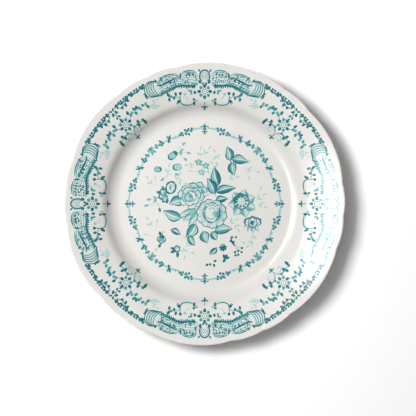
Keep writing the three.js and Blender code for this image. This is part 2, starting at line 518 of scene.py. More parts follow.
@dataclass(frozen=True)
class GlazedSurface:
    """The plate's glazed surface: its round section, swelled into the edge's lobes."""

    section: PlateSection = PlateSection()
    edge: ScallopedEdge = ScallopedEdge()

    def place(self, section_point: Vector, angle: float) -> Vector:
        """Where a point of the section lies at an angle, in millimetres."""
        radius = section_point.x + self.edge.swell(angle) * self.edge.share(section_point.x)
        dip = self.edge.pleat(radius, angle)
        return Vector((radius * math.cos(angle), radius * math.sin(angle), section_point.y - dip))


# ---------- Pieces ----------


def make_object(name: str, bm: Mesh, material: Material) -> Object:
    """Turn a bmesh in millimetres into a smooth-shaded object in metres.

    Args:
        name: The object's name.
        bm: The mesh, which is freed.
        material: Its only material.

    Returns:
        The object, at the origin and in the scene.
    """
    bmesh.ops.scale(bm, vec=(MM, MM, MM), verts=bm.verts)
    for face in bm.faces:
        face.smooth = True
    mesh = bpy.data.meshes.new(name)
    bm.to_mesh(mesh)
    bm.free()
    mesh.materials.append(material)
    made = bpy.data.objects.new(name, mesh)
    bpy.context.scene.collection.objects.link(made)
    return made


def deliver(piece: Object, node: str) -> None:
    """Ride a piece on the plate and the node it stands for.

    Args:
        piece: The finished piece.
        node: The CAD node that it replaces.
    """
    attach(piece, BODY)
    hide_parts(node)
    log.info("%s: %d faces, for %s", piece.name, len(piece.data.polygons), node)


@dataclass(frozen=True)
class Ground:
    """The glazed face as it was made, in millimetres, for the print to lie on."""

    tree: BVHTree
    above: float = 100.0

    def height(self, point: Vector) -> float:
        """Height of the glaze over a point of the plan, in millimetres."""
        return self.tree.ray_cast(Vector((point.x, point.y, self.above)), Vector((0, 0, -1)))[0].z


@dataclass(frozen=True)
class PlateWare:
    """The three turned pieces: the clay, the glass on the face and back, and in the recess."""

    surface: GlazedSurface = GlazedSurface()
    glaze_depth: float = 0.2
    seam: float = 0.05
    steps_per_sector: int = 54
    merge_distance: float = 0.0005
    bevel_steps: int = 5

    def turned(self, outline: Sequence[Vector]) -> Mesh:
        """Spin a closed outline into a solid and swell its edge into lobes.

        Args:
            outline: Radius and height of each point, with the solid on the right of its travel.

        Returns:
            The solid, in millimetres.
        """
        bm = bmesh.new()
        verts = [bm.verts.new((p.x, 0, p.y)) for p in outline]
        for a, b in zip(verts, verts[1:]):
            bm.edges.new((a, b))
        if outline[0].x > 0:
            bm.edges.new((verts[-1], verts[0]))
        bmesh.ops.spin(
            bm,
            geom=[*bm.verts, *bm.edges],
            cent=(0, 0, 0),
            axis=(0, 0, 1),
            angle=math.tau,
            steps=self.surface.edge.sectors * self.steps_per_sector,
            use_merge=True,
        )
        bmesh.ops.remove_doubles(bm, verts=bm.verts, dist=self.merge_distance)
        start = math.radians(self.surface.edge.turn_deg)
        for vert in bm.verts:
            angle = math.atan2(vert.co.y, vert.co.x) + start
            vert.co = self.surface.place(Vector((math.hypot(vert.co.x, vert.co.y), vert.co.z)), angle)
        bmesh.ops.recalc_face_normals(bm, faces=bm.faces)
        return bm

    def clay(self) -> Mesh:
        """The biscuit body, which shows only under the foot ring."""
        section = self.surface.section
        depth = self.glaze_depth + self.seam
        over = offset(section.face(), depth)
        under = offset(section.recess(), depth)
        outer, inner, bevel = over[-1].x, under[0].x, section.foot_bevel
        ring = [(over[-1].x, over[-1].y, 0, 0), (outer, 0.0, bevel, self.bevel_steps)]
        ring.append(((outer + inner) / 2, 0.0, 0, 0))
        ring += [(inner, 0.0, bevel, self.bevel_steps), (under[0].x, under[0].y, 0, 0)]
        return self.turned([*over, *section.filleted(ring)[1:-1], *under])

    def face_skin(self) -> Mesh:
        """The glass over the face, the lip, the back and the outside of the foot."""
        face = self.surface.section.face()
        return self.turned([*face, *reversed(offset(face, self.glaze_depth))])

    def recess_skin(self) -> Mesh:
        """The glass inside the foot ring."""
        recess = self.surface.section.recess()
        return self.turned([*reversed(offset(recess, self.glaze_depth)), *recess])

    def build(self) -> Ground:
        """Make, dress and deliver the three pieces.

        Returns:
            The finished face, for the print to lie on.
        """
        glaze = ChinaGlaze().material()
        clay = make_object("biscuit_body", self.clay(), BiscuitClay().material())
        deliver(clay, "plate_body")
        face = self.face_skin()
        ground = Ground(BVHTree.FromBMesh(face))
        deliver(make_object("glazed_face_and_back", face, glaze), "face_glaze")
        deliver(make_object("glazed_recess", self.recess_skin(), glaze), "recess_glaze")
        return ground


# ---------- Drawing with ink ----------

# Points of a line, and rows of numbers that place small marks or size the parts of a motif.
Route = tuple[tuple[float, float], ...]
Marks = tuple[tuple[float, ...], ...]


class Shape(Enum):
    """How a mark's width runs from its start to its end."""

    EVEN = "even"
    TAPER = "taper"
    SPINDLE = "spindle"
    BLADE = "blade"
    LEAF = "leaf"
    DROP = "drop"
    ROUND = "round"

    def width(self, u: float) -> float:
        """Width at a share u of the mark, as a share of its full width."""
        match self:
            case Shape.TAPER:
                return 1 - 0.85 * u
            case Shape.SPINDLE:
                return math.sin(math.pi * u) ** 0.7
            case Shape.BLADE:
                return math.sin(math.pi * u**0.82) ** 0.62
            case Shape.LEAF:
                return math.sin(math.pi * u**0.72) ** 1.15
            case Shape.DROP:
                return math.sin(math.pi * (0.12 + 0.88 * u) ** 2.0) ** 0.7
            case Shape.ROUND:
                return math.sqrt(max(0.0, 1 - (2 * u - 1) ** 2))
        return 1.0


@dataclass(frozen=True)
class Tone:
    """How densely a mark is inked, along it and across it."""

    start: float = 0.9
    end: float = 0.9
    # One side is darker by this share and the other paler.
    lean: float = 0.0
    # The middle is paler than the edges by this share.
    hollow: float = 0.0
    # Below 1, the tone changes sooner after the start.
    fade: float = 1.0

    def at(self, u: float, v: float) -> float:
        """Ink density at a share u along the mark and v, from -1 to 1, across it."""
        along = self.start + (self.end - self.start) * max(u, 0.0) ** self.fade
        return max(0.0, along * (1 + self.lean * v) * (1 - self.hollow * (1 - abs(v))))


def even(ink: float) -> Tone:
    """The same ink all over."""
    return Tone(ink, ink)


@dataclass(frozen=True)
class Spot:
    """A place and a direction to draw from, in the plan of the plate."""

    origin: Vector
    along: Vector
    up: Vector

    @property
    def hand(self) -> int:
        """1 as drawn, or -1 where the drawing is mirrored."""
        return 1 if self.along.cross(self.up) > 0 else -1

    def at(self, x: float, y: float) -> Vector:
        """The plan's point at x along and y up from the spot."""
        return self.origin + self.along * x + self.up * y

    def route(self, *points: tuple[float, float]) -> list[Vector]:
        """Several points of the plan."""
        return [self.at(x, y) for x, y in points]

    def turned(self, x: float, y: float, degrees: float) -> "Spot":
        """Another spot, moved and then turned from this one."""
        c, s = math.cos(math.radians(degrees)), math.sin(math.radians(degrees))
        return Spot(self.at(x, y), self.along * c + self.up * s, self.up * c - self.along * s)


# The middle of the plate, along +X.
PLAN = Spot(Vector((0.0, 0.0)), Vector((1.0, 0.0)), Vector((0.0, 1.0)))


def plan_spot(x: float, y: float, degrees: float = 0.0) -> Spot:
    """A spot of the plan, turned anticlockwise from +X."""
    return PLAN.turned(x, y, degrees)


@dataclass(frozen=True)
class RingHalf:
    """One half of a border repeat, measured in degrees from its axis and in radii."""

    axis_deg: float
    side: int

    def point(self, degrees: float, radius: float) -> Vector:
        """A point of the plan."""
        angle = math.radians(self.axis_deg + self.side * degrees)
        return Vector((radius * math.cos(angle), radius * math.sin(angle)))

    def route(self, *points: tuple[float, float]) -> list[Vector]:
        """Several points of the plan."""
        return [self.point(degrees, radius) for degrees, radius in points]

    def spot(self, degrees: float, radius: float, turn: float = 0.0) -> Spot:
        """A spot that looks away from the axis, with up outwards, then turned."""
        origin = self.point(degrees, radius)
        up = origin.normalized()
        return Spot(origin, Vector((-up.y, up.x)) * self.side, up).turned(0, 0, turn)


def both_halves(axis_deg: float) -> tuple[RingHalf, RingHalf]:
    """The two mirrored halves of a repeat."""
    return RingHalf(axis_deg, 1), RingHalf(axis_deg, -1)


def spline(points: Sequence[Vector], share: float) -> Vector:
    """The point a share of the way along the smooth curve through some points."""
    last = len(points) - 1
    place = min(share * last, last - 1e-6)
    i = int(place)
    t = place - i
    a, b, c, d = points[max(i - 1, 0)], points[i], points[i + 1], points[min(i + 2, last)]
    cubic = (b * 3 - a - c * 3 + d) * t**3
    return (b * 2 + (c - a) * t + (a * 2 - b * 5 + c * 4 - d) * t * t + cubic) / 2


class Pen:
    """Draws marks as thin closed films on the glazed face, all in one mesh."""

    # The lowest film's height over the glaze, and the rise from one level to the next.
    lift = 0.02
    level_step = 0.006
    # Marks of one level stand a hair apart, so that no two of their faces lie together.
    mark_step = 0.0004
    mark_cycle = 12
    film = 0.02
    finest = 0.06
    # Steeper than this, in radians, an edge of a film is sharp.
    crease = 1.0

    def __init__(self, ground: Ground) -> None:
        """Start a clean sheet.

        Args:
            ground: The face to draw on.
        """
        self.ground = ground
        self.bm = bmesh.new()
        self.ink = self.bm.verts.layers.float.new(INK)
        self.across = self.bm.verts.layers.float.new(ACROSS)
        self.marks = 0

    def patch(
        self,
        columns: int,
        rows: int,
        place: Callable[[float, float], Vector],
        tone: Tone,
        width: float,
        hand: int = 1,
        level: int = 0,
    ) -> None:
        """Lay one sheet of ink.

        Args:
            columns: Steps along it.
            rows: Steps across it.
            place: Plan point at a share u along it and v, from -1 to 1, across it.
            tone: Its ink.
            width: Its width in millimetres, for the engraver's lines.
            hand: -1 where place is mirrored, so that the sheet still faces up.
            level: Higher levels lie over lower ones.
        """
        self.marks += 1
        lift = self.lift + self.level_step * level + self.mark_step * (self.marks % self.mark_cycle)
        grid = bmesh.ops.create_grid(self.bm, x_segments=columns, y_segments=rows, size=1.0)
        for vert in grid["verts"]:
            u, v = (vert.co.x + 1) / 2, vert.co.y * hand
            point = place(u, v)
            vert[self.ink] = tone.at(u, v)
            vert[self.across] = v * width / 2
            vert.co = (point.x, point.y, self.ground.height(point) + lift)

    def stroke(
        self,
        points: Sequence[Vector],
        width: float,
        shape: Shape = Shape.SPINDLE,
        tone: Tone = Tone(),
        level: int = 1,
        rows: int = 1,
        step: float = 1.0,
    ) -> None:
        """Draw one line through some points of the plan.

        Args:
            points: The line's route.
            width: Its full width in millimetres.
            shape: How its width runs.
            tone: Its ink.
            level: Higher levels lie over lower ones.
            rows: Steps across it.
            step: Longest step along it in millimetres.
        """
        reach = sum((b - a).length for a, b in zip(points, points[1:]))
        columns = max(4, math.ceil(reach / step))
        middle = [spline(points, i / columns) for i in range(columns + 1)]

        def place(u: float, v: float) -> Vector:
            """Point of the line's film."""
            i = round(u * columns)
            ahead = middle[min(i + 1, columns)] - middle[max(i - 1, 0)]
            left = Vector((-ahead.y, ahead.x)).normalized()
            return middle[i] + left * (v * max(width * shape.width(u), self.finest) / 2)

        self.patch(columns, rows, place, tone, width, level=level)

    def oval(self, spot: Spot, wide: float, high: float, tone: Tone, level: int, rows: int = 4) -> None:
        """Fill an oval.

        Args:
            spot: Its centre.
            wide: Half its size along the spot.
            high: Half its size across the spot.
            tone: Its ink, which runs along the spot.
            level: Higher levels lie over lower ones.
            rows: Steps across it.
        """
        ends = spot.route((-wide, 0), (0, 0), (wide, 0))
        self.stroke(ends, high * 2, Shape.ROUND, tone, level, rows)

    def dot(self, centre: Vector, size: float, ink: float = 0.95, level: int = 2) -> None:
        """Put down one round dot."""
        reach = Vector((size / 2, 0.0))
        self.stroke([centre - reach, centre, centre + reach], size, Shape.ROUND, even(ink), level)

    def deliver(self, name: str, ink: Material, slot: str, node: str) -> None:
        """Give the sheets their thickness and hand the piece over.

        Args:
            name: The piece's name.
            ink: Its material.
            node: The CAD node that it replaces.
        """
        bmesh.ops.solidify(self.bm, geom=self.bm.faces[:], thickness=self.film)
        bmesh.ops.recalc_face_normals(self.bm, faces=self.bm.faces)
        for edge in self.bm.edges:
            edge.smooth = edge.calc_face_angle(0.0) < self.crease
        deliver(make_object(name, self.bm, ink), node)


# ---------- Engraved motifs ----------


@dataclass(frozen=True)
class Leaflet:
    """A small plump leaf, cut with one stroke."""

    length: float = 3.6
    width: float = 2.0
    bow: float = 0.4
    ink: float = 0.95

    def draw(self, pen: Pen, spot: Spot, level: int = 1) -> None:
        """Draw it from its stalk, along the spot."""
        route = spot.route((0, 0), (self.length / 2, self.bow), (self.length, 0))
        pen.stroke(route, self.width, Shape.BLADE, Tone(self.ink, self.ink * 0.85), level, step=1.1)


def draw_marks(
    pen: Pen, spot_at: Callable[[float, float, float], Spot], marks: Marks, leaf: Leaflet, level: int = 1
) -> None:
    """Draw small leaves in many places.

    Args:
        pen: The pen.
        spot_at: Gives the spot at a mark's first three numbers, the last of which is its turn.
        marks: Place, turn and length of each leaf, and its ink if that isn't 1.
        leaf: The leaf. Its length and its ink multiply those of each mark.
        level: Higher levels lie over lower ones.
    """
    for first, second, turn, length, *ink in marks:
        mark = replace(leaf, length=length * leaf.length, ink=(ink[0] if ink else 1.0) * leaf.ink)
        mark.draw(pen, spot_at(first, second, turn), level)


@dataclass(frozen=True)
class Sprig:
    """A thin stem with pairs of small leaves and one at its tip."""

    length: float = 9.0
    bow: float = 1.0
    pairs: int = 2
    leaf: Leaflet = Leaflet()
    spread_deg: float = 46.0
    stem: float = 0.55
    bare_share: float = 0.3
    # The two leaves of a pair stand this share of the length before and after its middle.
    stagger: float = 0.06

    def draw(self, pen: Pen, spot: Spot) -> None:
        """Draw it from its foot, along the spot."""
        route = spot.route((0, 0), (self.length / 2, self.bow), (self.length, 0))
        pen.stroke(route, self.stem, Shape.TAPER, Tone(self.leaf.ink * 0.8, self.leaf.ink), 0)
        for i in range(self.pairs):
            share = self.bare_share + (1 - self.bare_share) * i / self.pairs
            height = self.bow * 4 * share * (1 - share)
            for side in (1, -1):
                at = self.length * (share + self.stagger * side)
                self.leaf.draw(pen, spot.turned(at, height, side * self.spread_deg))
        self.leaf.draw(pen, spot.turned(self.length * 0.96, 0, -6 * self.bow))


@dataclass(frozen=True)
class Leaf:
    """A broad leaf: pale by its midrib and hatched towards thick dark edges."""

    length: float = 16.0
    width: float = 9.0
    bow: float = 1.2
    veins: int = 6
    ink: float = 0.4
    edge_ink: float = 1.0
    edge_width: float = 1.3
    rib_share: float = 0.08
    ruffle: float = 0.06
    ruffle_turns: float = 24.0
    # Shares of the length where the thin border has its points, and the thick one on each side.
    border: tuple[float, ...] = (0.0, 0.08, 0.25, 0.5, 0.75, 0.92, 1.0)
    upper_dark: tuple[float, ...] = (0.0, 0.12, 0.3, 0.5, 0.62)
    lower_dark: tuple[float, ...] = (0.22, 0.42, 0.6, 0.8, 1.0)
    # A vein's points: how far on from its foot, and share of the way to the edge.
    upper_vein: Route = ((0.0, 0.08), (0.07, 0.35), (0.13, 0.6))
    lower_vein: Route = ((0.02, 0.3), (0.08, 0.58), (0.13, 0.95))

    def edge(self, spot: Spot, u: float, share: float) -> Vector:
        """A point of the blade, at a share from its midrib to its edge."""
        ruffled = 1 + self.ruffle * math.sin(self.ruffle_turns * u)
        half = self.width / 2 * Shape.LEAF.width(u) * ruffled
        return spot.at(self.length * u, self.bow * 4 * u * (1 - u) + half * share)

    def draw_side(self, pen: Pen, spot: Spot, level: int, side: int) -> None:
        """Draw the pale upper side, 1, or the shaded lower side, -1."""
        upper = side > 0
        start = self.ink * (0.5 if upper else 1.15)

        def place(u: float, v: float) -> Vector:
            """Point of one half of the blade."""
            share = self.rib_share + (1 - self.rib_share) * (1 + v * side) / 2
            return self.edge(spot, 0.03 + 0.97 * u, side * share)

        tone = Tone(start, start * 0.7, lean=0.22 * side)
        pen.patch(math.ceil(self.length), 3, place, tone, self.width / 2, spot.hand, level)
        for stops, width in ((self.border, 0.5), (self.upper_dark if upper else self.lower_dark, 0.95)):
            border = [self.edge(spot, u, side * 0.93) for u in stops]
            tone = Tone(self.edge_ink * 0.9, self.edge_ink)
            pen.stroke(border, self.edge_width * width, Shape.SPINDLE, tone, level + 2)
        ink = self.edge_ink * (0.55 if upper else 0.85)
        for i in range(self.veins):
            u = 0.08 + 0.7 * i / self.veins
            bends = self.upper_vein if upper else self.lower_vein
            route = [self.edge(spot, u + ahead, side * share) for ahead, share in bends]
            pen.stroke(route, 0.42 * self.edge_width, Shape.SPINDLE, even(ink), level + 1)

    def draw(self, pen: Pen, spot: Spot, level: int = 0) -> None:
        """Draw it from its stalk, along the spot."""
        self.draw_side(pen, spot, level, 1)
        self.draw_side(pen, spot, level, -1)
        midrib = [self.edge(spot, u, 0.1) for u in (0.16, 0.4, 0.65, 0.9)]
        pen.stroke(midrib, 0.9, Shape.SPINDLE, even(0.03), level + 1)
        stalk = spot.route((-0.1 * self.length, -0.2), (0, 0), (0.25 * self.length, self.bow * 0.7))
        pen.stroke(stalk, 0.7, Shape.TAPER, Tone(self.edge_ink, self.edge_ink * 0.8), level + 2)


@dataclass(frozen=True)
class Petal:
    """A broad petal: nearly bare, hatched at its base, with an uneven darker rim."""

    length: float = 8.0
    width: float = 10.0
    ruffle: float = 0.07
    waves: int = 3
    base: float = 0.5
    pale: float = 0.06
    rim: float = 0.72
    hatches: int = 4
    hatch_reach: float = 0.6
    rim_width: float = 0.9
    # The rim's points: share of the way out, and across from -1 to 1.
    outline: Route = (
        (0.35, -1), (0.75, -1), (1, -0.8), (1, -0.4), (1, 0), (1, 0.4), (1, 0.8), (0.75, 1), (0.35, 1),
    )

    def point(self, spot: Spot, u: float, v: float) -> Vector:
        """A point at a share u from the base to the rim and v, from -1 to 1, across."""
        reach = 1 - 0.24 * v * v + self.ruffle * u * math.cos(self.waves * math.pi * v)
        spread = math.sin(math.pi * (0.14 + 0.5 * u))
        return spot.at(self.length * u * reach, self.width / 2 * v * spread)

    def draw(self, pen: Pen, spot: Spot, level: int = 0) -> None:
        """Draw it from its base, along the spot."""
        tone = Tone(self.base, self.pale, fade=0.4)
        pen.patch(6, 6, lambda u, v: self.point(spot, u, v), tone, self.width, spot.hand, level)
        rim = [self.point(spot, u, v) for u, v in self.outline]
        pen.stroke(rim, self.rim_width, Shape.SPINDLE, even(self.rim), level + 2)
        for i in range(self.hatches):
            v = -0.8 + 1.6 * (i + 0.5) / self.hatches
            reach = self.hatch_reach * (1 - 0.4 * ((i * 7) % 3) / 2)
            route = [self.point(spot, u, v) for u in (0.05, reach / 2, reach)]
            pen.stroke(route, 0.55, Shape.TAPER, Tone(self.rim, self.rim * 0.6), level + 1)


@dataclass(frozen=True)
class Cup:
    """A hollow round of petals seen from the front: bare inside a thick scalloped rim."""

    wide: float = 5.0
    high: float = 6.0
    ink: float = 0.95
    rim_width: float = 1.7
    scallops: int = 7
    fill: float = 0.04

    def ring(self, spot: Spot, share: float, start: float, end: float, steps: int = 8) -> list[Vector]:
        """An arc of the oval at a share of its size, between two angles in degrees."""
        angles = [math.radians(start + (end - start) * k / steps) for k in range(steps + 1)]
        wide, high = self.wide * share, self.high * share
        return [spot.at(wide * math.cos(a), high * math.sin(a)) for a in angles]

    def draw(self, pen: Pen, spot: Spot, level: int = 0) -> None:
        """Draw it round the spot."""
        pen.oval(spot, self.wide, self.high, Tone(self.fill, self.fill + 0.1), level)
        arc = 360 / self.scallops
        for i in range(self.scallops):
            start = arc * i + 8 * math.sin(3 * i)
            curve = self.ring(spot, 0.93, start - 0.16 * arc, start + 1.1 * arc, 5)
            pen.stroke(curve, self.rim_width, Shape.SPINDLE, Tone(self.ink, self.ink * 0.85), level + 2)
        inner = self.ring(spot, 0.45, 20, 160, 6)
        pen.stroke(inner, 0.6, Shape.SPINDLE, even(self.ink * 0.7), level + 1)


@dataclass(frozen=True)
class Rose:
    """A full cabbage rose: rings of ruffled petals round a cupped bowl."""

    radius: float = 13.6
    seed: int = 1
    bowl: Cup = Cup(8.2, 10.2, 0.95, 1.4, 6)
    bowl_shift: tuple[float, float] = (0.0, 1.0)
    # Petals, base and rim distance and width of each ring, as shares of the radius.
    rings: tuple[tuple[int, float, float, float], ...] = ((10, 0.56, 1.02, 0.66),)
    shaded_side_deg: float = 0.0
    # Folds inside the bowl: share of its size, first and last angle, ink.
    folds: Marks = ((0.78, 100, 262, 0.6), (0.62, -150, -20, 0.55), (0.72, 20, 150, 0.8))
    bowl_lines: int = 8
    frills: int = 5

    def draw(self, pen: Pen, spot: Spot, level: int = 3) -> None:
        """Draw it round the spot."""
        chance = random.Random(self.seed)
        size = self.radius
        for ring, (count, start, end, width) in enumerate(self.rings):
            for i in range(count):
                turn = 360 * (i + 0.5 * ring) / count + chance.uniform(-7, 7)
                shade = 0.5 + 0.5 * math.cos(math.radians(turn - self.shaded_side_deg))
                petal = Petal(
                    (end - start) * size * chance.uniform(0.9, 1.08),
                    width * size,
                    base=0.42 + 0.4 * shade,
                    pale=0.02 + 0.1 * shade * shade,
                    rim=0.72 + 0.2 * shade,
                    hatches=3,
                )
                base = spot.turned(0, 0, turn)
                petal.draw(pen, base.turned(start * size, 0, 0), level + 3 * ring)
        middle = spot.turned(*self.bowl_shift, 0)
        self.draw_bowl(pen, middle, level + 3 * len(self.rings))

    def draw_bowl(self, pen: Pen, spot: Spot, level: int) -> None:
        """Draw the cupped middle: bare on one side and hatched on the shaded one."""
        bowl = self.bowl
        bowl.draw(pen, spot, level)
        for i in range(self.bowl_lines):
            share = 0.1 + 0.1 * i
            bend = bowl.ring(spot, share + 0.06, -64 + 4 * i, 42 - 3 * i, 5)
            pen.stroke(bend, 0.5 + 0.08 * i, Shape.SPINDLE, Tone(0.5, 0.62), level + 1)
        for share, start, end, ink in self.folds:
            pen.stroke(bowl.ring(spot, share, start, end), 0.8, Shape.SPINDLE, even(ink), level + 2)
        for i in range(self.frills):
            x, y = bowl.wide * (-0.6 + 0.3 * i), bowl.high * (0.62 - 0.05 * (i - 2) ** 2)
            edge = Petal(bowl.high * 0.34, bowl.wide * 0.42, 0.1, 2, 0.5, 0.02, 0.75, 2, rim_width=0.8)
            edge.draw(pen, spot.turned(x, y, 90), level + 3)


@dataclass(frozen=True)
class Rosette:
    """An open flower of separate petals round a ring of dots."""

    radius: float = 7.3
    petals: int = 8
    ink: float = 0.95
    # Every other petal is paler by this share.
    fade: float = 0.3
    petal_share: float = 0.4
    eye_share: float = 0.46

    def draw(self, pen: Pen, spot: Spot, level: int = 0) -> None:
        """Draw it round the spot, with one petal along it."""
        size = self.radius
        pen.oval(spot, size * 0.8, size * 0.8, even(self.ink * 0.05), level, 5)
        for i in range(self.petals):
            ray = spot.turned(0, 0, 360 * i / self.petals)
            ink = self.ink * (1 - self.fade * (i % 2))
            reach = size * (1 - 0.1 * (i % 2))
            petal = ray.route((self.eye_share * size, 0), (0.7 * size, 0), (reach, 0))
            pen.stroke(petal, size * self.petal_share, Shape.BLADE, even(ink), level + 1, 2, size / 5)
            between = ray.turned(0, 0, 180 / self.petals)
            pen.dot(between.at(size * 0.33, 0), size * 0.15, self.ink, level + 1)
        pen.dot(spot.at(0, 0), size * 0.16, self.ink * 0.7, level + 1)


@dataclass(frozen=True)
class Anemone:
    """A large open flower: pale pointed petals, a dark cup and a bare rayed middle."""

    radius: float = 13.6
    petals: int = 7
    cup_petals: int = 6
    rays: int = 20
    seeds: int = 7
    eye_shift: tuple[float, float] = (-0.8, 2.0)

    def draw(self, pen: Pen, spot: Spot, level: int = 0) -> None:
        """Draw it round the spot."""
        size = self.radius
        for i in range(self.petals):
            ray = spot.turned(0, 0, 20 + 360 * i / self.petals)
            blade = Leaf(size * 0.78, size * 0.74, 0.5, 5, 0.46, 0.62, 0.9)
            blade.draw(pen, ray.turned(size * 0.24, 0, 0), level)
        eye = spot.turned(*self.eye_shift, 0)
        for i in range(self.cup_petals):
            turn = 360 * i / self.cup_petals
            shade = 0.42 + 0.38 * math.cos(math.radians(turn - 100))
            petal = Petal(size * 0.34, size * 0.52, 0.1, 3, 0.95, shade, 1.0, 4, rim_width=1.1)
            petal.draw(pen, eye.turned(0, 0, 30 + turn).turned(size * 0.22, 0, 0), level + 3)
        self.draw_eye(pen, eye, level + 6)

    def draw_eye(self, pen: Pen, eye: Spot, level: int) -> None:
        """Draw the rays, the bare disc and its seeds."""
        size = self.radius
        for i in range(self.rays):
            ray = eye.turned(0, 0, 360 / self.rays * i)
            ink = 0.05 if i % 2 else 1.0
            reach = size * (0.6 if i > self.rays // 2 else 0.36)
            pen.stroke(ray.route((0.2 * size, 0), (reach, 0)), 1.1, Shape.TAPER, even(ink), level)
        disc = size * 0.26
        pen.oval(eye, disc, disc, Tone(0.03, 0.08), level + 1)
        for i in range(self.seeds):
            pen.dot(eye.turned(0, 0, 360 * i / self.seeds).at(disc * 0.62, 0), 0.75, 0.8, level + 2)
        pen.dot(eye.at(0, 0), 1.1, 0.9, level + 2)


@dataclass(frozen=True)
class Bud:
    """A half-open bud: folded petals in a small calyx on a stalk."""

    length: float = 9.0
    width: float = 8.0
    ink: float = 0.8
    stalk: float = 4.0

    def draw(self, pen: Pen, spot: Spot, level: int = 0) -> None:
        """Draw it from its calyx, along the spot."""
        stalk = spot.route((-self.stalk, 0.6), (-self.stalk / 2, 0.3), (0, 0))
        pen.stroke(stalk, 0.5, Shape.EVEN, Tone(self.ink))
        for i, (turn, share) in enumerate(((32, 0.8), (-32, 0.8), (0, 1.0))):
            petal = Petal(self.length * share, self.width * 0.7, 0.05, 2, self.ink, self.ink * 0.3, 1.0)
            petal.draw(pen, spot.turned(0, 0, turn), level + 2 * i)
        for turn in (62, -62, 22, -22):
            Leaflet(self.length * 0.42, 1.6, 0.3, 1.0).draw(pen, spot.turned(-0.3, 0, turn), level + 7)


@dataclass(frozen=True)
class Berry:
    """A seedy berry with a dark shaded end, pale at the other."""

    wide: float = 4.2
    high: float = 3.6
    ink: float = 0.9
    seeds: int = 7

    def draw(self, pen: Pen, spot: Spot, level: int = 0) -> None:
        """Draw it round the spot, with its dark end along the spot."""
        pen.oval(spot, self.wide, self.high, Tone(self.ink * 0.25, self.ink * 0.6), level)
        oval = Cup(self.wide, self.high)
        for start, end, width, share in ((20, 340, 0.7, 0.75), (-75, 75, 1.5, 1.0)):
            rim = oval.ring(spot, 0.9, start, end)
            pen.stroke(rim, width, Shape.SPINDLE, even(self.ink * share), level + 1)
        for i, seed in enumerate(oval.ring(spot, 0.5, 0, 360, self.seeds)[:-1]):
            pen.dot(seed, 0.9, self.ink * (0.9 if i % 2 else 0.1), level + 2)


@dataclass(frozen=True)
class LeafStar:
    """Leaves that spread from one point."""

    leaf: Leaflet
    turns: tuple[float, ...]

    def draw(self, pen: Pen, spot: Spot, level: int = 1) -> None:
        """Draw them round the spot."""
        for turn in self.turns:
            self.leaf.draw(pen, spot.turned(0, 0, turn), level)
        pen.dot(spot.at(0, 0), self.leaf.width * 0.6, self.leaf.ink, level + 1)


@dataclass(frozen=True)
class Finial:
    """A small three-lobed head on a stalk."""

    length: float
    width: float
    ink: float = 0.95

    def draw(self, pen: Pen, spot: Spot, level: int = 1) -> None:
        """Draw it from the foot of its stalk, along the spot."""
        head = self.length * 0.52
        pen.stroke(spot.route((0, 0), (head, 0)), 0.9, Shape.TAPER, Tone(self.ink * 0.8, self.ink), level)
        lobe = Leaflet(self.length - head + 0.6, self.width * 0.36, 0.0, self.ink)
        lobe.draw(pen, spot.turned(head - 0.6, 0, 0))
        for side in (1, -1):
            reach = side * self.width / 2
            curl = spot.route((head * 0.85, 0), (head * 1.12, reach * 0.75), (head * 0.98, reach))
            pen.stroke(curl, 1.3, Shape.DROP, even(self.ink), level + 1)


# ---------- The border ----------


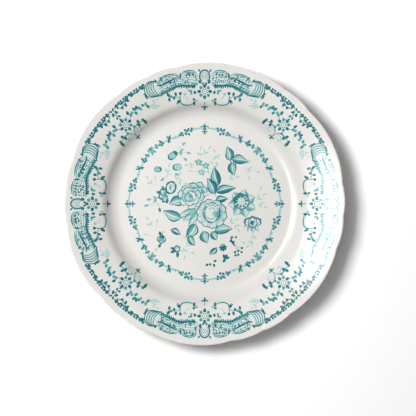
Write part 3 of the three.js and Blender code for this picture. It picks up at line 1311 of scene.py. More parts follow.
@dataclass(frozen=True)
class Cartouche:
    """One of the border's four shell panels, with a rosette and scrolls under it.

    Places are given in degrees from the panel's axis and in radii.
    """

    number: int
    axis_deg: float
    panel_start: float = 3.2
    panel_end: float = 21.6
    # The panel's two outer bows, from one angle to another, and how far they rise.
    bows: Marks = ((3.4, 10.8, 2.7), (11.2, 20.9, 2.6))
    # Inset, width and ink of the lines along each bow.
    bow_lines: Marks = ((0.0, 1.0, 0.85), (1.5, 0.6, 0.7))
    # Angle, inner and outer radius of the dark spikes between the bows.
    spikes: Marks = ((19.4, 124.6, 128.0), (21.9, 124.2, 127.8), (10.9, 126.6, 121.0))
    bow_foot: float = 125.1
    leaf_line: float = 111.9
    contour_lines: int = 6
    flecks: int = 52
    shade_line: Route = ((11.9, 123.0), (14.4, 122.3), (17.0, 121.0), (19.8, 120.3), (22.4, 121.6))
    end_line: Route = ((20.6, 120.9), (20.3, 117.0))
    panel_leaves: Marks = (
        (5.2, 122.6, 70, 3.0), (6.6, 122.0, 80, 3.0), (8.2, 122.4, 105, 3.0), (13.6, 121.4, -70, 3.0),
        (15.6, 121.0, -80, 3.0),
    )
    shell_ribs: int = 5
    shell_leaves: Marks = ((28.7, 118.4, -98, 5.4), (28.3, 118.0, 35, 2.6), (27.2, 126.0, 70, 2.8))
    acanthus_teeth: int = 17
    scroll: Route = (
        (12.2, 108.4), (12.9, 105.0), (13.3, 101.4), (13.0, 98.2), (11.2, 96.2), (8.6, 95.6), (6.6, 96.6),
        (5.7, 99.2),
    )
    inner_tendril: Route = ((7.4, 100.4), (9.6, 102.4), (10.0, 105.6), (8.4, 108.0))
    outer_tendril: Route = ((13.0, 103.4), (15.2, 106.0), (18.4, 107.6), (19.2, 110.6))
    scroll_leaves: Marks = (
        (12.5, 106.2, 75, 3.2), (13.2, 100.6, 10, 3.6), (13.3, 101.2, -35, 3.4), (15.0, 106.4, 95, 4.0),
        (15.6, 106.0, -60, 3.2, 0.95), (17.6, 107.6, 30, 3.0, 0.9), (18.8, 108.6, 100, 3.4, 0.95),
        (18.4, 106.8, -80, 4.2, 0.95), (16.6, 107.0, -20, 2.6, 0.7), (5.7, 98.8, -85, 4.6),
        (5.5, 98.6, 160, 3.0), (5.9, 99.0, 75, 2.8, 0.9), (5.0, 105.0, 80, 3.8, 0.95),
        (6.4, 107.6, 20, 3.2, 0.75), (6.2, 106.4, -30, 2.6, 0.6), (8.4, 108.2, 120, 2.8, 0.45),
        (10.0, 105.4, 40, 2.4, 0.45),
    )
    scroll_dots: Route = ((12.2, 108.0), (15.0, 99.6))
    medallion_radius: float = 121.4
    # Half width, half height, line width and ink of the medallion's two rings.
    medallion_rings: Marks = ((4.7, 6.0, 1.3, 0.9), (3.2, 4.2, 0.6, 0.5))
    # The leaves under the medallion, on its right: place and turn.
    medallion_leaves: Marks = ((1.1, -5.6, -66), (3.2, -4.8, -50), (4.9, -3.4, -84))
    rosette_radius: float = 107.2
    finial_radius: float = 97.0

    def crown(self, degrees: float) -> float:
        """Radius of the panel's outer line."""
        for start, end, rise in self.bows:
            if start <= degrees <= end:
                return self.bow_foot + rise * math.sin(math.pi * (degrees - start) / (end - start)) ** 0.6
        return self.bow_foot

    def hem(self, degrees: float) -> float:
        """Radius of the panel's inner line, which arches over the scrolls."""
        return self.leaf_line + 2.3 * math.exp(-(((degrees - 12.5) / 4.2) ** 2))

    def draw_panel(self, pen: Pen, half: RingHalf, chance: random.Random) -> None:
        """Draw the panel's tint, contour lines and flecks."""
        run = self.panel_end - self.panel_start

        def place(u: float, v: float) -> Vector:
            """Point of the panel."""
            degrees = self.panel_start + run * u
            low, high = self.hem(degrees) + 0.6, self.crown(degrees) - 0.4
            return half.point(degrees, low + (high - low) * (1 + v) / 2)

        pen.patch(34, 10, place, Tone(0.1, 0.12, hollow=0.3), 12.0, -half.side)
        for i in range(self.contour_lines):
            share = -0.86 + 1.72 * i / (self.contour_lines - 1)
            route = [place(k / 16, share + 0.07 * math.sin(2.3 * k + i)) for k in range(17)]
            pen.stroke(route, 0.5, Shape.EVEN, even(0.62), step=1.2)
        for _ in range(self.flecks):
            u, v = chance.uniform(0.02, 0.98), chance.uniform(-0.85, 0.7)
            start, lean = place(u, v), chance.uniform(-0.025, 0.025)
            route = [start, place(u + lean / 2, v + 0.12), place(u + lean, v + 0.3)]
            pen.stroke(route, chance.uniform(0.7, 1.2), Shape.BLADE, Tone(chance.uniform(0.75, 1.0)), 2)

    def draw_bows(self, pen: Pen, half: RingHalf) -> None:
        """Draw the panel's outer bows, the spikes between them and the leaves inside."""
        for start, end, _ in self.bows:
            angles = [start + 0.3 + (end - start - 0.6) * k / 10 for k in range(11)]
            for inset, width, ink in self.bow_lines:
                route = [half.point(a, self.crown(a) - inset) for a in angles]
                pen.stroke(route, width, Shape.SPINDLE, even(ink), 3)
        for degrees, low, high in self.spikes:
            middle = (degrees - 0.1, (low + high) / 2)
            route = half.route((degrees - 0.5, low), middle, (degrees + 0.2, high))
            pen.stroke(route, 1.6, Shape.BLADE, even(1.0), 4)
        pen.stroke(half.route(*self.shade_line), 1.7, Shape.SPINDLE, even(1.0), 4)
        pen.stroke(half.route(*self.end_line), 1.4, Shape.TAPER, Tone(1.0, 0.8), 4)
        draw_marks(pen, half.spot, self.panel_leaves, Leaflet(1.0, 1.5, 0.3, 1.0), 4)

    def draw_shell(self, pen: Pen, half: RingHalf) -> None:
        """Draw the ribbed shell that ends the panel."""
        for rib in range(self.shell_ribs):
            k = 5 * rib / (self.shell_ribs - 1)
            ink = 0.7 + 0.05 * k
            route = half.route(
                (21.9, 111.2),
                (23.0 + 0.8 * k, 113.6 + 0.1 * k),
                (23.9 + 0.88 * k, 118.6),
                (23.5 + 0.76 * k, 123.2 + 0.25 * k),
                (22.6 + 0.45 * k, 125.4 + 0.42 * k),
                (21.7 + 0.12 * k, 124.6 + 0.3 * k),
            )
            pen.stroke(route, 0.8, Shape.EVEN, even(ink), 3)

        def place(u: float, v: float) -> Vector:
            """Point of the shell."""
            arch = math.sin(math.pi * (0.12 + 0.76 * u)) ** 0.6
            return half.point(24.6 + 3.4 * v * arch, 111.8 + 14.6 * u)

        pen.patch(14, 6, place, Tone(0.14, 0.08), 7.0, half.side)
        draw_marks(pen, half.spot, self.shell_leaves, Leaflet(1.0, 1.7, 0.4, 1.0), 4)

    def draw_acanthus(self, pen: Pen, half: RingHalf) -> None:
        """Draw the long toothed leaf along the panel's inner line."""
        rib = [half.point(a, self.hem(a) + 0.9) for a in range(4, 24, 2)]
        pen.stroke(rib, 1.6, Shape.SPINDLE, Tone(0.95, 0.8), 4)
        for i in range(self.acanthus_teeth):
            degrees = 4.4 + 16.6 * i / (self.acanthus_teeth - 1)
            lower = half.spot(degrees, self.hem(degrees) + 0.9, -52 + 10 * math.sin(i))
            Leaflet(2.9 + 0.4 * math.cos(2 * i), 1.25, 0.3, 1.0).draw(pen, lower, 4)
            upper = half.spot(degrees, self.hem(degrees) + 1.0, 42 + 12 * math.cos(i))
            Leaflet(3.3, 1.1, -0.3, 0.85).draw(pen, upper, 3)
        Leaflet(4.6, 1.9, 0.7, 1.0).draw(pen, half.spot(4.6, 113.6, -42), 4)

    def draw_scrolls(self, pen: Pen, half: RingHalf) -> None:
        """Draw the C-scroll and its leaves under the panel."""
        pen.stroke(half.route(*self.scroll), 1.1, Shape.SPINDLE, Tone(0.85, 0.6))
        pen.stroke(half.route(*self.inner_tendril), 0.7, Shape.SPINDLE, Tone(0.4, 0.3))
        pen.stroke(half.route(*self.outer_tendril), 0.6, Shape.EVEN, Tone(0.65, 0.6))
        draw_marks(pen, half.spot, self.scroll_leaves, Leaflet(0.94, 2.4, 0.3, 1.0), 2)
        for degrees, radius in self.scroll_dots:
            pen.dot(half.point(degrees, radius), 2.2)

    def draw_axis(self, pen: Pen, half: RingHalf) -> None:
        """Draw what stands on the axis: the medallion, the rosette and the finial."""
        seat = half.spot(0, self.medallion_radius)
        for wide, high, width, ink in self.medallion_rings:
            arch = Cup(wide, high).ring(seat, 1.0, -52, 232, 16)
            pen.stroke(arch, width, Shape.EVEN, even(ink), 4)
        pen.oval(seat, 4.6, 5.7, even(0.06), 2, 6)
        Rosette(2.6, 6, 0.75, 0.2, 0.4).draw(pen, seat, 4)
        for side in (1, -1):
            Leaflet(3.0, 1.7, 0.3, 0.9).draw(pen, seat.turned(side * 4.4, 4.4, 90 - side * 40), 4)
            for x, y, turn in self.medallion_leaves:
                foot = seat.turned(side * x, y, -90 + side * (turn + 90))
                Leaflet(2.7, 1.8, 0.2, 1.0).draw(pen, foot, 4)
        Rosette(7.4, 8, 0.95).draw(pen, half.spot(0, self.rosette_radius, 90), 1)
        Finial(7.4, 6.2).draw(pen, half.spot(0, self.finial_radius, -90))

    def build(self, ground: Ground, ink: Material) -> None:
        """Draw the whole cartouche and hand it over."""
        pen = Pen(ground)
        chance = random.Random(self.number)
        halves = both_halves(self.axis_deg)
        for half in halves:
            self.draw_panel(pen, half, chance)
            self.draw_bows(pen, half)
            self.draw_shell(pen, half)
            self.draw_acanthus(pen, half)
            self.draw_scrolls(pen, half)
        self.draw_axis(pen, halves[0])
        node = f"cartouche_transfer_{self.number}"
        pen.deliver(f"cartouche_print_{self.number}", ink, "border_print", node)


@dataclass(frozen=True)
class CornerSpray:
    """One of the four flower sprays between the cartouches, under a vine along the edge.

    Places are given in degrees from the diagonal and in radii.
    """

    number: int
    axis_deg: float
    vine_points: int = 9
    vine_leaves: int = 11
    inner_vine: Route = ((1.8, 123.8), (3.6, 121.6), (5.6, 121.4), (7.4, 123.4), (8.8, 125.6))
    hanging_leaves: Marks = ((6.4, 122.4, -100, 4.0), (3.9, 121.8, -70, 3.2), (7.6, 123.0, -40, 3.0))
    pendant_leaves: Marks = (
        (0.3, 123.8, 48, 3.4), (0.3, 122.8, -44, 3.4), (0.3, 121.0, -22, 3.2), (0.3, 117.6, -62, 2.8),
    )
    pendant_stalk: Route = ((0, 121.0), (0, 116.4))
    spray_stem: Route = ((3.4, 107.6), (5.6, 109.6), (9.2, 110.8), (13.6, 109.4), (17.4, 106.4))
    # The leaves pale towards the end of the spray.
    spray_leaves: Marks = (
        (4.6, 111.4, 82, 4.6), (5.2, 108.6, 88, 3.4, 0.65), (5.0, 109.4, 30, 3.0, 0.7),
        (8.8, 111.0, 118, 4.6, 0.85), (9.2, 111.0, 60, 4.2, 0.95), (9.6, 110.6, 8, 3.8, 0.75),
        (7.6, 110.2, -78, 4.0, 0.8), (10.6, 110.2, -70, 3.2, 0.6), (6.6, 110.0, 100, 3.0, 0.6),
        (13.4, 109.6, 122, 4.0, 0.75), (14.2, 109.2, 62, 3.8, 0.6), (14.4, 109.0, -74, 4.2, 0.85),
        (13.8, 109.4, -20, 3.0, 0.5),
    )
    anchor_arm: Route = ((0.3, 93.8), (1.0, 97.0), (2.9, 99.0), (5.6, 99.7), (8.8, 98.9))
    anchor_loop: Route = ((0.8, 95.4), (2.8, 96.8), (4.6, 96.0), (4.9, 94.0), (3.6, 93.0), (2.5, 94.0))
    anchor_leaves: Marks = (
        (8.8, 99.4, -84, 5.6), (8.7, 98.8, 75, 2.4, 0.95), (5.9, 99.6, 78, 3.8), (5.3, 99.6, -95, 3.6),
        (4.6, 99.4, -50, 2.6, 0.85), (3.0, 99.2, 120, 2.4, 0.7),
    )
    rosette_radius: float = 106.4
    finial_radius: float = 94.4

    def draw_vine(self, pen: Pen, half: RingHalf) -> None:
        """Draw the vine from the diagonal to the next cartouche."""
        stops = []
        for k in range(self.vine_points):
            wave = 0.9 * math.sin(1.7 * k + 0.4)
            stops.append(half.point(1.6 + 1.9 * k, 124.7 + wave + 0.09 * k))
        pen.stroke(stops, 1.2, Shape.EVEN, Tone(0.95, 0.9), 1)
        pen.stroke(half.route(*self.inner_vine), 0.9, Shape.SPINDLE, Tone(0.9, 0.8), 1)
        for i in range(self.vine_leaves):
            degrees = 2.6 + 14.2 * i / (self.vine_leaves - 1)
            radius = 124.9 + 0.06 * degrees
            outward = half.spot(degrees, radius, 48 - 14 * (i % 2))
            Leaflet(2.5 + 0.4 * (i % 2), 2.1, 0.4, 1.0).draw(pen, outward, 2)
            inward = half.spot(degrees + 0.8, radius - 0.2, -128 + 84 * (i % 2))
            Leaflet(2.7 - 0.4 * (i % 2), 2.1, -0.4, 1.0).draw(pen, inward, 2)
        draw_marks(pen, half.spot, self.hanging_leaves, Leaflet(1.0, 2.3, 0.4, 1.0), 3)

    def draw_pendant(self, pen: Pen, half: RingHalf) -> None:
        """Draw half of the little flower that hangs from the vine."""
        draw_marks(pen, half.spot, self.pendant_leaves, Leaflet(1.0, 2.0, 0.3, 0.95), 3)
        pen.stroke(half.route(*self.pendant_stalk), 1.1, Shape.TAPER, even(0.75), 1)

    def draw_spray(self, pen: Pen, half: RingHalf) -> None:
        """Draw the leaves on one side of the rosette."""
        pen.stroke(half.route(*self.spray_stem), 0.55, Shape.TAPER, Tone(0.75, 0.25))
        draw_marks(pen, half.spot, self.spray_leaves, Leaflet(0.94, 2.6, 0.3, 1.0), 1)
        faint = Leaflet(3.4, 1.2, 0.3, 0.36)
        Sprig(8.0, -0.8, 3, faint, 42, 0.4, 0.2).draw(pen, half.spot(15.6, 108.0, -38))
        Sprig(5.0, 0.4, 1, faint, 50, 0.4, 0.3).draw(pen, half.spot(17.4, 107.6, 12))

    def draw_anchor(self, pen: Pen, half: RingHalf) -> None:
        """Draw half of the scrolled anchor at the foot of the spray."""
        pen.stroke(half.route(*self.anchor_arm), 0.9, Shape.SPINDLE, Tone(0.6, 0.9))
        pen.stroke(half.route(*self.anchor_loop), 0.6, Shape.SPINDLE, Tone(0.45, 0.4))
        draw_marks(pen, half.spot, self.anchor_leaves, Leaflet(0.94, 2.7, 0.3, 1.0), 2)

    def build(self, ground: Ground, ink: Material) -> None:
        """Draw the whole corner and hand it over."""
        pen = Pen(ground)
        halves = both_halves(self.axis_deg)
        for half in halves:
            self.draw_vine(pen, half)
            self.draw_pendant(pen, half)
            self.draw_spray(pen, half)
            self.draw_anchor(pen, half)
            for turn in (44, 98):
                Leaflet(4.2, 1.5, 0.2, 0.6).draw(pen, half.spot(1.4, 108.8, turn), 1)
        Rosette(7.2, 8, 0.95).draw(pen, halves[0].spot(0, self.rosette_radius, 90), 1)
        Leaflet(5.4, 2.2, 0.0, 1.0).draw(pen, halves[0].spot(0, 109.6, 90), 5)
        Finial(6.6, 5.6, 0.9).draw(pen, halves[0].spot(0, self.finial_radius, -90))
        pen.deliver(f"corner_print_{self.number}", ink, "corner_print", f"corner_transfer_{self.number}")


# ---------- The well ----------


@dataclass(frozen=True)
class Wreath:
    """The thin leafy ring round the well, drawn in eighths between a finial and a diagonal.

    Places are given in degrees from the finial and in radii.
    """

    quarters: int = 4
    stems: tuple[Route, ...] = (
        ((1.4, 73.0), (5.0, 72.6), (9.5, 72.4), (12.0, 71.6), (14.5, 70.8), (18.0, 70.6)),
        ((18.0, 70.6), (21.0, 69.2), (25.7, 69.8), (28.5, 70.6), (31.5, 70.4), (35.0, 71.6)),
        ((35.0, 71.6), (38.0, 71.2), (41.0, 72.2), (44.4, 72.0)),
    )
    slant: Route = ((26.3, 74.2), (28.0, 71.6), (29.4, 70.2), (31.2, 67.6))
    arch: Route = ((0.2, 73.0), (1.9, 74.8), (3.2, 73.0))
    leaves: Marks = (
        (9.9, 72.0, 84, 2.6), (10.1, 72.2, -86, 2.4), (12.2, 72.0, 74, 2.6), (12.8, 71.6, 10, 2.2, 0.9),
        (14.6, 71.8, 62, 2.8), (14.6, 70.8, -82, 2.9), (12.8, 69.8, -106, 2.8), (17.4, 70.8, 30, 2.6),
        (18.6, 70.6, -38, 2.6), (17.6, 70.2, -100, 2.4, 0.9), (19.2, 70.0, 6, 2.2, 0.85),
        (29.2, 71.8, 96, 3.0, 0.6), (28.6, 72.2, 30, 2.4, 0.7), (30.2, 69.4, -150, 2.4, 0.7),
        (23.6, 69.4, 60, 1.8, 0.5), (35.4, 71.4, 78, 3.8), (34.5, 72.6, -92, 3.6), (36.2, 71.2, -8, 3.0),
        (35.6, 70.6, -60, 2.6, 0.9), (39.6, 71.8, 68, 2.6, 0.85), (39.8, 71.6, -58, 2.4, 0.8),
        (44.6, 73.6, 156, 3.0, 0.7), (44.5, 71.6, -116, 4.2, 0.7), (1.2, 72.6, -140, 2.4, 0.8),
    )

    def draw_half(self, pen: Pen, half: RingHalf) -> None:
        """Draw an eighth of the ring."""
        for stem in self.stems:
            pen.stroke(half.route(*stem), 0.6, Shape.EVEN, even(0.55))
            pen.stroke(half.route(*stem), 3.4, Shape.SPINDLE, even(0.16), 0)
        pen.stroke(half.route(*self.slant), 1.9, Shape.SPINDLE, Tone(1.0, 0.9), 2)
        pen.stroke(half.route(*self.arch), 0.9, Shape.SPINDLE, Tone(0.85, 0.7))
        draw_marks(pen, half.spot, self.leaves, Leaflet(1.0, 2.3, 0.25, 0.9))

    def draw_axis(self, pen: Pen, half: RingHalf) -> None:
        """Draw the finial and its leaf, and the leaf on the diagonal."""
        Leaflet(4.4, 2.1, 0.0, 0.95).draw(pen, half.spot(0, 72.6, 90), 2)
        Finial(6.6, 5.2, 0.9).draw(pen, half.spot(0, 73.0, -90))
        Leaflet(2.6, 2.2, 0.0, 0.75).draw(pen, half.spot(45, 73.2, 90), 2)
        pen.stroke(half.route((45, 73.6), (45, 71.2)), 1.2, Shape.EVEN, Tone(0.75))

    def build(self, ground: Ground, ink: Material) -> None:
        """Draw the whole ring and hand it over."""
        pen = Pen(ground)
        for quarter in range(self.quarters):
            halves = both_halves(360 * quarter / self.quarters)
            for half in halves:
                self.draw_half(pen, half)
            self.draw_axis(pen, halves[0])
        pen.deliver("wreath_print", ink, "wreath_print", "wreath_transfer")


@dataclass(frozen=True)
class Bouquet:
    """Two cabbage roses with their leaves, and small flowers scattered round them.

    Places are given in millimetres across and up from the plate's middle.
    """

    # Foot and tip of each broad leaf, its width and how far it bows.
    dark_leaves: Marks = (
        (13.4, 18.0, 9.3, 35.8, 9.5, 1.2),
        (9.8, 9.8, 2.3, 24.6, 9.8, -1.0),
        (11.5, 11.0, 30.0, 15.2, 8.2, 1.4),
        (10.5, 2.6, 22.6, 5.2, 6.6, 0.8),
    )
    light_leaves: Marks = (
        (-20.4, 3.4, -34.2, -0.4, 10.0, -1.2),
        (-22.6, -13.4, -39.8, -6.2, 10.0, 1.4),
        (-8.6, -19.4, -18.2, -32.8, 10.0, 1.4),
        (-15.4, -30.6, -9.2, -40.2, 6.2, -0.6),
        (-1.6, -26.6, 2.8, -37.8, 9.6, -0.6),
        (6.6, -27.2, 11.4, -35.0, 7.4, 0.5),
        (9.8, -26.4, 26.8, -24.0, 9.8, 1.4),
    )
    spray_leaves: Marks = (
        (24.6, 41.6, 21.2, 55.2, 8.2, -1.0),
        (26.2, 42.6, 41.8, 40.0, 8.8, 1.2),
        (25.6, 39.8, 28.8, 27.2, 8.4, -0.8),
    )
    # Place and turn of the faint leaves between the roses.
    faint_leaves: Marks = ((-8.0, -5.0, 196), (-8.6, -6.4, 218), (-8.0, -8.0, 240))
    stems: tuple[Route, ...] = (
        ((-4, 2), (2, 8), (10, 11)),
        ((-22, -13), (-12, -10), (0, -8)),
        ((24.8, 42), (25.4, 36), (22, 30)),
    )
    # Place and turn of the petals that hide part of the paired rose.
    hiding_petals: Marks = ((-11.0, 14.4, 80), (-6.0, 15.4, 62), (-3.0, 12.0, 30))

    def draw_leaves(self, pen: Pen, leaves: Marks, ink: float) -> None:
        """Draw broad leaves between their feet and their tips."""
        for x, y, tip_x, tip_y, width, bow in leaves:
            reach = Vector((tip_x - x, tip_y - y))
            turn = math.degrees(math.atan2(reach.y, reach.x))
            Leaf(reach.length, width, bow, 7, ink).draw(pen, plan_spot(x, y, turn))

    def roses(self, pen: Pen) -> None:
        """Draw the two roses."""
        swirl = Cup(4.2, 4.4, 0.6, 1.1, 5, 0.2)
        paired = ((8, 0.58, 1.0, 0.62), (6, 0.3, 0.74, 0.62))
        Rose(12.6, 3, swirl, (-3.0, 0.6), paired, 20).draw(pen, plan_spot(-12.8, 7.4, 40))
        for x, y, turn in self.hiding_petals:
            Petal(5.6, 7.0, 0.1, 3, 0.95, 0.12, 0.85).draw(pen, plan_spot(x, y, turn), 12)
        Rose(14.0, 8, shaded_side_deg=40).draw(pen, plan_spot(6.6, -9.4, -8))

    def leaves(self, pen: Pen) -> None:
        """Draw the leaves of the roses and of the three-leaved spray."""
        self.draw_leaves(pen, self.dark_leaves, 0.85)
        self.draw_leaves(pen, self.light_leaves, 0.55)
        self.draw_leaves(pen, self.spray_leaves, 0.65)
        for x, y, turn in self.faint_leaves:
            Leaf(16.0, 6.6, 0.8, 5, 0.42, 0.62, 1.0).draw(pen, plan_spot(x, y, turn))
        for stem in self.stems:
            pen.stroke(PLAN.route(*stem), 0.9, Shape.TAPER, Tone(0.8, 0.6))

    def build(self, ground: Ground, ink: Material) -> None:
        """Draw the bouquet and hand over its two pieces."""
        for name, draw in (("bouquet_roses", self.roses), ("bouquet_leaves", self.leaves)):
            pen = Pen(ground)
            draw(pen)
            pen.deliver(name, ink, "bouquet_print", "bouquet_transfer")


@dataclass(frozen=True)
class ScatteredFlowers:
    """The flowers, buds, berries and seed heads round the bouquet."""

    # Middle, half sizes, ink and turn of each berry.
    berries: Marks = (
        (-45.1, 33.1, 3.6, 2.9, 1.0, 0),
        (-26.3, 35.2, 4.4, 3.6, 0.8, 190),
    )
    berry_leaf_turns: tuple[float, ...] = (15, 55, 95, -25)
    # Place, turn and ink of the petals behind the cupped flower.
    cup_petals: Marks = ((-36.2, 10.6, 172, 0.9), (-37.4, 9.0, 205, 0.7), (-36.2, 8.2, 238, 0.9))
    cup_leaves: Marks = ((-38.6, 13.0, 118, 4.8), (-41.8, 10.6, 165, 4.8), (-36.0, 5.0, 262, 4.8))
    bud_leaves: Marks = (
        (-28.6, -44.6, 206, 4.8), (-28.4, -43.4, 158, 4.4), (-26.2, -46.4, 268, 5.2),
        (-28.0, -46.0, 120, 2.6), (-41.6, -30.4, 112, 4.4), (-43.0, -38.6, 250, 3.6),
    )
    # Middle, radius and ink of the three faint rosettes.
    rosettes: Marks = ((-5.8, 39.8, 3.8, 0.6), (0.9, 36.6, 3.8, 0.55), (-3.0, 30.3, 3.6, 0.5))
    seeds: Route = ((35.8, -42.4), (35.4, -46.4), (32.3, -45.2), (29.1, -46.4), (29.6, -49.4), (32.2, -48.8))
    seed_foot: tuple[float, float] = (31.4, -41.0)
    seed_stem: Route = ((25.0, -31.6), (26.4, -37.0), (30.2, -41.2))
    seed_leaves: Marks = (
        (25.6, -33.6, 60, 3.0), (26.4, -37.4, 20, 3.0), (30.2, -33.2, 80, 2.2), (25.8, -35.0, 200, 2.2),
        (3.4, -57.4, 216, 3.4), (8.0, -57.8, 300, 3.2), (9.0, -56.0, 40, 3.2), (6.4, -57.6, 190, 2.4),
    )

    def draw_open_flower(self, pen: Pen) -> None:
        """Draw the small open flower by the anemone."""
        for turn in (-160, -125, -90, -55, 172, 24):
            Leaf(9.6, 4.8, 0.5, 3, 0.4, 0.6, 0.8).draw(pen, plan_spot(46.0, -18.6, turn))
        upper = Petal(6.2, 7.6, 0.1, 3, 0.6, 0.02, 1.0, 3, rim_width=1.5)
        for x, turn in ((-1.8, 150), (0.0, 92), (1.8, 34)):
            upper.draw(pen, plan_spot(46.2 + x, -18.8, turn), 4)
        for turn in (-150, -90, -30):
            Petal(4.2, 6.4, 0.1, 3, 0.7, 0.02, 0.9, 2).draw(pen, plan_spot(46.2, -18.4, turn), 8)
        heart = LeafStar(Leaflet(2.6, 1.6, 0.2, 1.0), (0, 70, 140, 220))
        heart.draw(pen, plan_spot(45.6, -18.4, 40), 12)

    def draw_berries(self, pen: Pen) -> None:
        """Draw the three berries and the leaves of the first."""
        Berry(4.6, 3.6).draw(pen, plan_spot(-31.0, 46.0, 218))
        for turn in self.berry_leaf_turns:
            Leaflet(3.4, 2.0, 0.3, 0.9).draw(pen, plan_spot(-29.0, 48.0, turn))
        for x, y, wide, high, ink, turn in self.berries:
            Berry(wide, high, ink).draw(pen, plan_spot(x, y, turn))

    def draw_cupped_flower(self, pen: Pen) -> None:
        """Draw the cupped flower with its petals and leaves."""
        Cup(5.0, 6.2, 0.95, 1.9, 6, 0.08).draw(pen, plan_spot(-32.5, 15.5, -18), 4)
        pen.stroke(PLAN.route((-33.2, 17.6), (-32.9, 13.2)), 1.8, Shape.SPINDLE, even(0.6), 8)
        for x, y, turn, shade in self.cup_petals:
            Petal(7.0, 6.0, 0.12, 3, shade, 0.08, 0.9, rim_width=1.3).draw(pen, plan_spot(x, y, turn))
        draw_marks(pen, plan_spot, self.cup_leaves, Leaflet(1.0, 2.6, 0.4, 0.9), 4)

    def draw_seed_heads(self, pen: Pen) -> None:
        """Draw the dotted seed head with its stem, and the leaves about it."""
        for seed in PLAN.route(*self.seeds):
            pen.dot(seed, 2.3, 1.0)
            pen.stroke([seed, PLAN.at(*self.seed_foot)], 0.3, Shape.EVEN, even(0.4), 0)
        pen.stroke(PLAN.route(*self.seed_stem), 1.6, Shape.SPINDLE, Tone(1.0, 0.9))
        draw_marks(pen, plan_spot, self.seed_leaves, Leaflet(1.0, 2.3, 0.3, 1.0))

    def build(self, ground: Ground, ink: Material) -> None:
        """Draw them all and hand the piece over."""
        pen = Pen(ground)
        Anemone().draw(pen, plan_spot(36.2, 0.4, 8))
        self.draw_open_flower(pen)
        self.draw_berries(pen)
        self.draw_cupped_flower(pen)
        Bud(7.6, 6.4, 0.9, 5.0).draw(pen, plan_spot(-41.0, -30.8, 262))
        Cup(2.8, 3.2, 0.95, 1.3, 5, 0.15).draw(pen, plan_spot(-26.4, -43.2), 2)
        draw_marks(pen, plan_spot, self.bud_leaves, Leaflet(1.0, 2.7, 0.4, 1.0), 3)
        star = LeafStar(Leaflet(4.0, 2.3, 0.2, 1.0), tuple(range(0, 360, 52)))
        star.draw(pen, plan_spot(17.6, -42.0, 15))
        LeafStar(Leaflet(4.4, 2.6, 0.3, 1.0), (0, 50, -50, 180)).draw(pen, plan_spot(19.6, -52.4, 60))
        for x, y, radius, shade in self.rosettes:
            Rosette(radius, 5, shade, 0.2, 0.62, 0.2).draw(pen, plan_spot(x, y, 18))
        self.draw_seed_heads(pen)
        pen.deliver("scattered_flowers", ink, "bouquet_print", "bouquet_transfer")


class SprigInk(Enum):
    """The three strengths of a scattered sprig, each with its own small leaf."""

    DARK = Leaflet(4.4, 2.5, 0.4, 0.85)
    MIDDLE = Leaflet(4.4, 2.2, 0.4, 0.55)
    FAINT = Leaflet(4.2, 1.6, 0.4, 0.34)


@dataclass(frozen=True)
class ScatteredSprigs:
    """The sprigs round the bouquet: strong ones by their flowers and faint ones between."""

    # Each group's strength, and the foot, turn, length and pairs of leaves of its sprigs.
    groups: tuple[tuple[SprigInk, Marks], ...] = (
        (SprigInk.MIDDLE, (
            (-27.0, 49.4, -4, 10, 1), (-26.6, 48.0, -34, 8, 0), (-25.6, 52.0, 44, 6, 0),
            (-35.8, 28.2, 224, 5, 0), (-35.6, 28.0, 0, 7, 0),
        )),
        (SprigInk.FAINT, ((-35.6, 28.4, 78, 7, 1),)),
        (SprigInk.MIDDLE, ((-44.0, 6.0, 190, 8, 1), (-49.4, 0.4, 196, 5, 0))),
        (SprigInk.DARK, ((-45.4, 0.6, -72, 5, 0),)),
        (SprigInk.FAINT, (
            (-27.6, 21.6, 60, 7, 1), (-27.4, 21.0, -10, 8, 1), (-49.5, 17.8, 125, 8, 1),
            (-45.6, 17.6, 100, 6, 0), (-4.0, 44.0, 86, 8, 1), (-1.0, 46.4, 50, 8, 1),
            (-10.0, 38.6, 190, 6, 1), (4.0, 38.6, 40, 5, 0), (0.6, 30.4, 0, 6, 1),
            (-7.0, 31.6, 180, 5, 0), (14.4, 42.6, 120, 8, 1), (14.4, 37.6, 165, 6, 1),
            (38.0, 33.0, -10, 12, 1), (39.0, 34.0, 60, 6, 0), (38.6, 31.6, -60, 6, 0),
            (22.0, 24.0, 10, 8, 1), (49.6, 3.0, 36, 8, 1), (50.6, 0.0, -24, 7, 1),
            (52.0, 8.0, 70, 6, 0), (23.0, -19.0, 25, 7, 1), (28.6, -19.0, -60, 6, 1),
            (47.0, -28.0, -100, 8, 1), (45.0, -34.0, -120, 6, 1), (-50.0, -22.0, 120, 8, 1),
            (-46.6, -24.0, 80, 6, 0), (-49.0, -30.0, 175, 6, 0), (-21.0, -41.0, -80, 9, 1),
            (-20.4, -44.0, -22, 8, 0), (-20.6, -43.0, 24, 5, 0), (-44.0, -39.0, 240, 4, 0),
            (33.0, -34.0, -40, 4, 0),
        )),
        (SprigInk.MIDDLE, ((12.6, -43.6, 40, 4, 0),)),
        (SprigInk.FAINT, ((-22.0, -30.0, -60, 8, 0),)),
    )
    # Foot, turn, length and width of the two broad leaves.
    broad_leaves: Marks = ((-32.0, -25.0, -27, 10, 5.6), (11.2, -42.4, 222, 9, 5.0))

    def build(self, ground: Ground, ink: Material) -> None:
        """Draw them all and hand the piece over."""
        pen = Pen(ground)
        for strength, sprigs in self.groups:
            for x, y, turn, length, pairs in sprigs:
                Sprig(length, 0.8, pairs, strength.value).draw(pen, plan_spot(x, y, turn))
        for x, y, turn, length, width in self.broad_leaves:
            Leaf(length, width, 0.6, 4, 0.8).draw(pen, plan_spot(x, y, turn))
        pen.deliver("scattered_sprigs", ink, "bouquet_print", "bouquet_transfer")


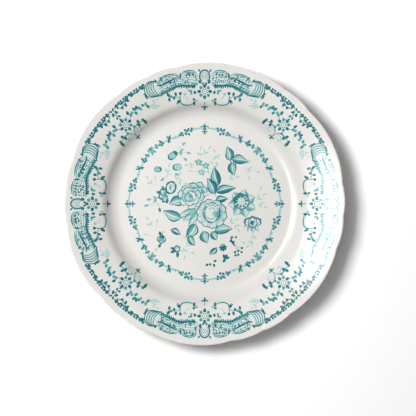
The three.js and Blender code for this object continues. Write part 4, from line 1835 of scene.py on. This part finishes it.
@dataclass(frozen=True)
class TransferPrint:
    """The whole decoration: four cartouches, four corners, the wreath and the bouquet."""

    quarters: int = 4

    def build(self, ground: Ground) -> None:
        """Draw every part of it on the face."""
        ink = TransferInk().material()
        for quarter in range(self.quarters):
            axis = 360 * quarter / self.quarters
            Cartouche(quarter + 1, axis).build(ground, ink)
            CornerSpray(quarter + 1, axis + 180 / self.quarters).build(ground, ink)
        for part in (Wreath(), Bouquet(), ScatteredFlowers(), ScatteredSprigs()):
            part.build(ground, ink)


# ---------- Studio ----------


@dataclass(frozen=True)
class SoftBox:
    """One rectangular studio light, aimed at the plate's middle."""

    name: str
    # Where it hangs: clockwise from +Y as seen from above, and down from the zenith.
    clockwise_deg: float
    polar_deg: float
    distance: float
    width: float
    height: float
    watts: float
    colour: str = "#FFFFFF"
    # Whether matt surfaces catch it, and whether glossy ones mirror it.
    diffuse: bool = True
    glossy: bool = True

    def build(self) -> None:
        """Put the light in the scene."""
        light = bpy.data.lights.new(self.name, "AREA")
        light.shape = "RECTANGLE"
        light.size, light.size_y = self.width, self.height
        light.energy = self.watts
        light.color = linear(self.colour)[:3]
        lamp = bpy.data.objects.new(self.name, light)
        around, down = math.radians(self.clockwise_deg), math.radians(self.polar_deg)
        across = Vector((math.sin(around), math.cos(around), 0.0)) * math.sin(down)
        aim = across + Vector((0.0, 0.0, math.cos(down)))
        lamp.location = aim * self.distance
        lamp.rotation_euler = aim.to_track_quat("Z", "Y").to_euler()
        lamp.visible_diffuse = self.diffuse
        lamp.visible_glossy = self.glossy
        bpy.context.scene.collection.objects.link(lamp)


@dataclass(frozen=True)
class Studio:
    """White paper, soft light from the upper left and a camera straight above."""

    view_width: float = 0.396
    lens_mm: float = 200.0
    sensor_mm: float = 36.0
    far_clip: float = 20.0
    aim_right: float = 0.0032
    aim_down: float = 0.0040
    paper_size: float = 1.5
    sky: str = "#FFFFFF"
    sky_strength: float = 0.085
    # The room is white from the floor up to this height of the sky, and dim above.
    horizon: float = 0.04
    horizon_end: float = 0.1
    horizon_strength: float = 0.45
    # The paper is exposed to pure white, and the print has a little extra contrast.
    exposure: float = 2.0
    gamma: float = 0.75
    # The first two light the clay, ink and paper; the windows are only mirrored in the glaze.
    softboxes: tuple[SoftBox, ...] = (
        SoftBox("key_softbox", 295, 31, 1.5, 0.58, 0.58, 10, glossy=False),
        SoftBox("top_softbox", 300, 10, 1.6, 1.6, 1.6, 4, glossy=False),
        SoftBox("window_high", 278, 19.5, 1.4, 0.44, 0.25, 2.6, "#FFF7F6", diffuse=False),
        SoftBox("window_low", 277, 38, 1.4, 0.5, 0.4, 0.8, diffuse=False),
    )

    def floor(self) -> None:
        """Lay the paper."""
        bm = bmesh.new()
        bmesh.ops.create_grid(bm, x_segments=1, y_segments=1, size=self.paper_size / 2 / MM)
        paper = make_object("paper_floor", bm, StudioPaper().material())

    def camera(self) -> None:
        """Hang the camera over the plate, level with its rim line."""
        data = bpy.data.cameras.new("overhead_camera")
        data.lens, data.sensor_width = self.lens_mm, self.sensor_mm
        data.clip_end = self.far_clip
        camera = bpy.data.objects.new("overhead_camera", data)
        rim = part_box("face_glaze")[1].z
        distance = self.view_width * self.lens_mm / self.sensor_mm
        camera.location = (self.aim_right, -self.aim_down, rim + distance)
        bpy.context.scene.collection.objects.link(camera)
        bpy.context.scene.camera = camera

    def room(self) -> None:
        """Set the even light of the room."""
        world = bpy.data.worlds.new("studio")
        world.use_nodes = True
        tree = world.node_tree
        way = add_node(tree, "ShaderNodeTexCoord").outputs["Generated"]
        height = add_node(tree, "ShaderNodeSeparateXYZ", {0: way}).outputs["Z"]
        limits = {0: height, 1: self.horizon, 2: self.horizon_end}
        limits |= {3: self.horizon_strength, 4: self.sky_strength}
        strength = add_node(tree, "ShaderNodeMapRange", limits)
        back = tree.nodes["Background"]
        back.inputs["Color"].default_value = linear(self.sky)
        tree.links.new(strength.outputs[0], back.inputs["Strength"])
        bpy.context.scene.world = world

    def build(self) -> None:
        """Set up the whole studio."""
        self.floor()
        self.camera()
        self.room()
        for softbox in self.softboxes:
            softbox.build()
        settings = bpy.context.scene.view_settings
        settings.view_transform = "Standard"
        settings.exposure = math.log2(self.exposure)
        settings.gamma = self.gamma


def main() -> None:
    logging.basicConfig(level=logging.INFO, format="%(name)s: %(message)s")
    Studio().build()
    ground = PlateWare().build()
    TransferPrint().build(ground)


if __name__ == "__main__":
    main()
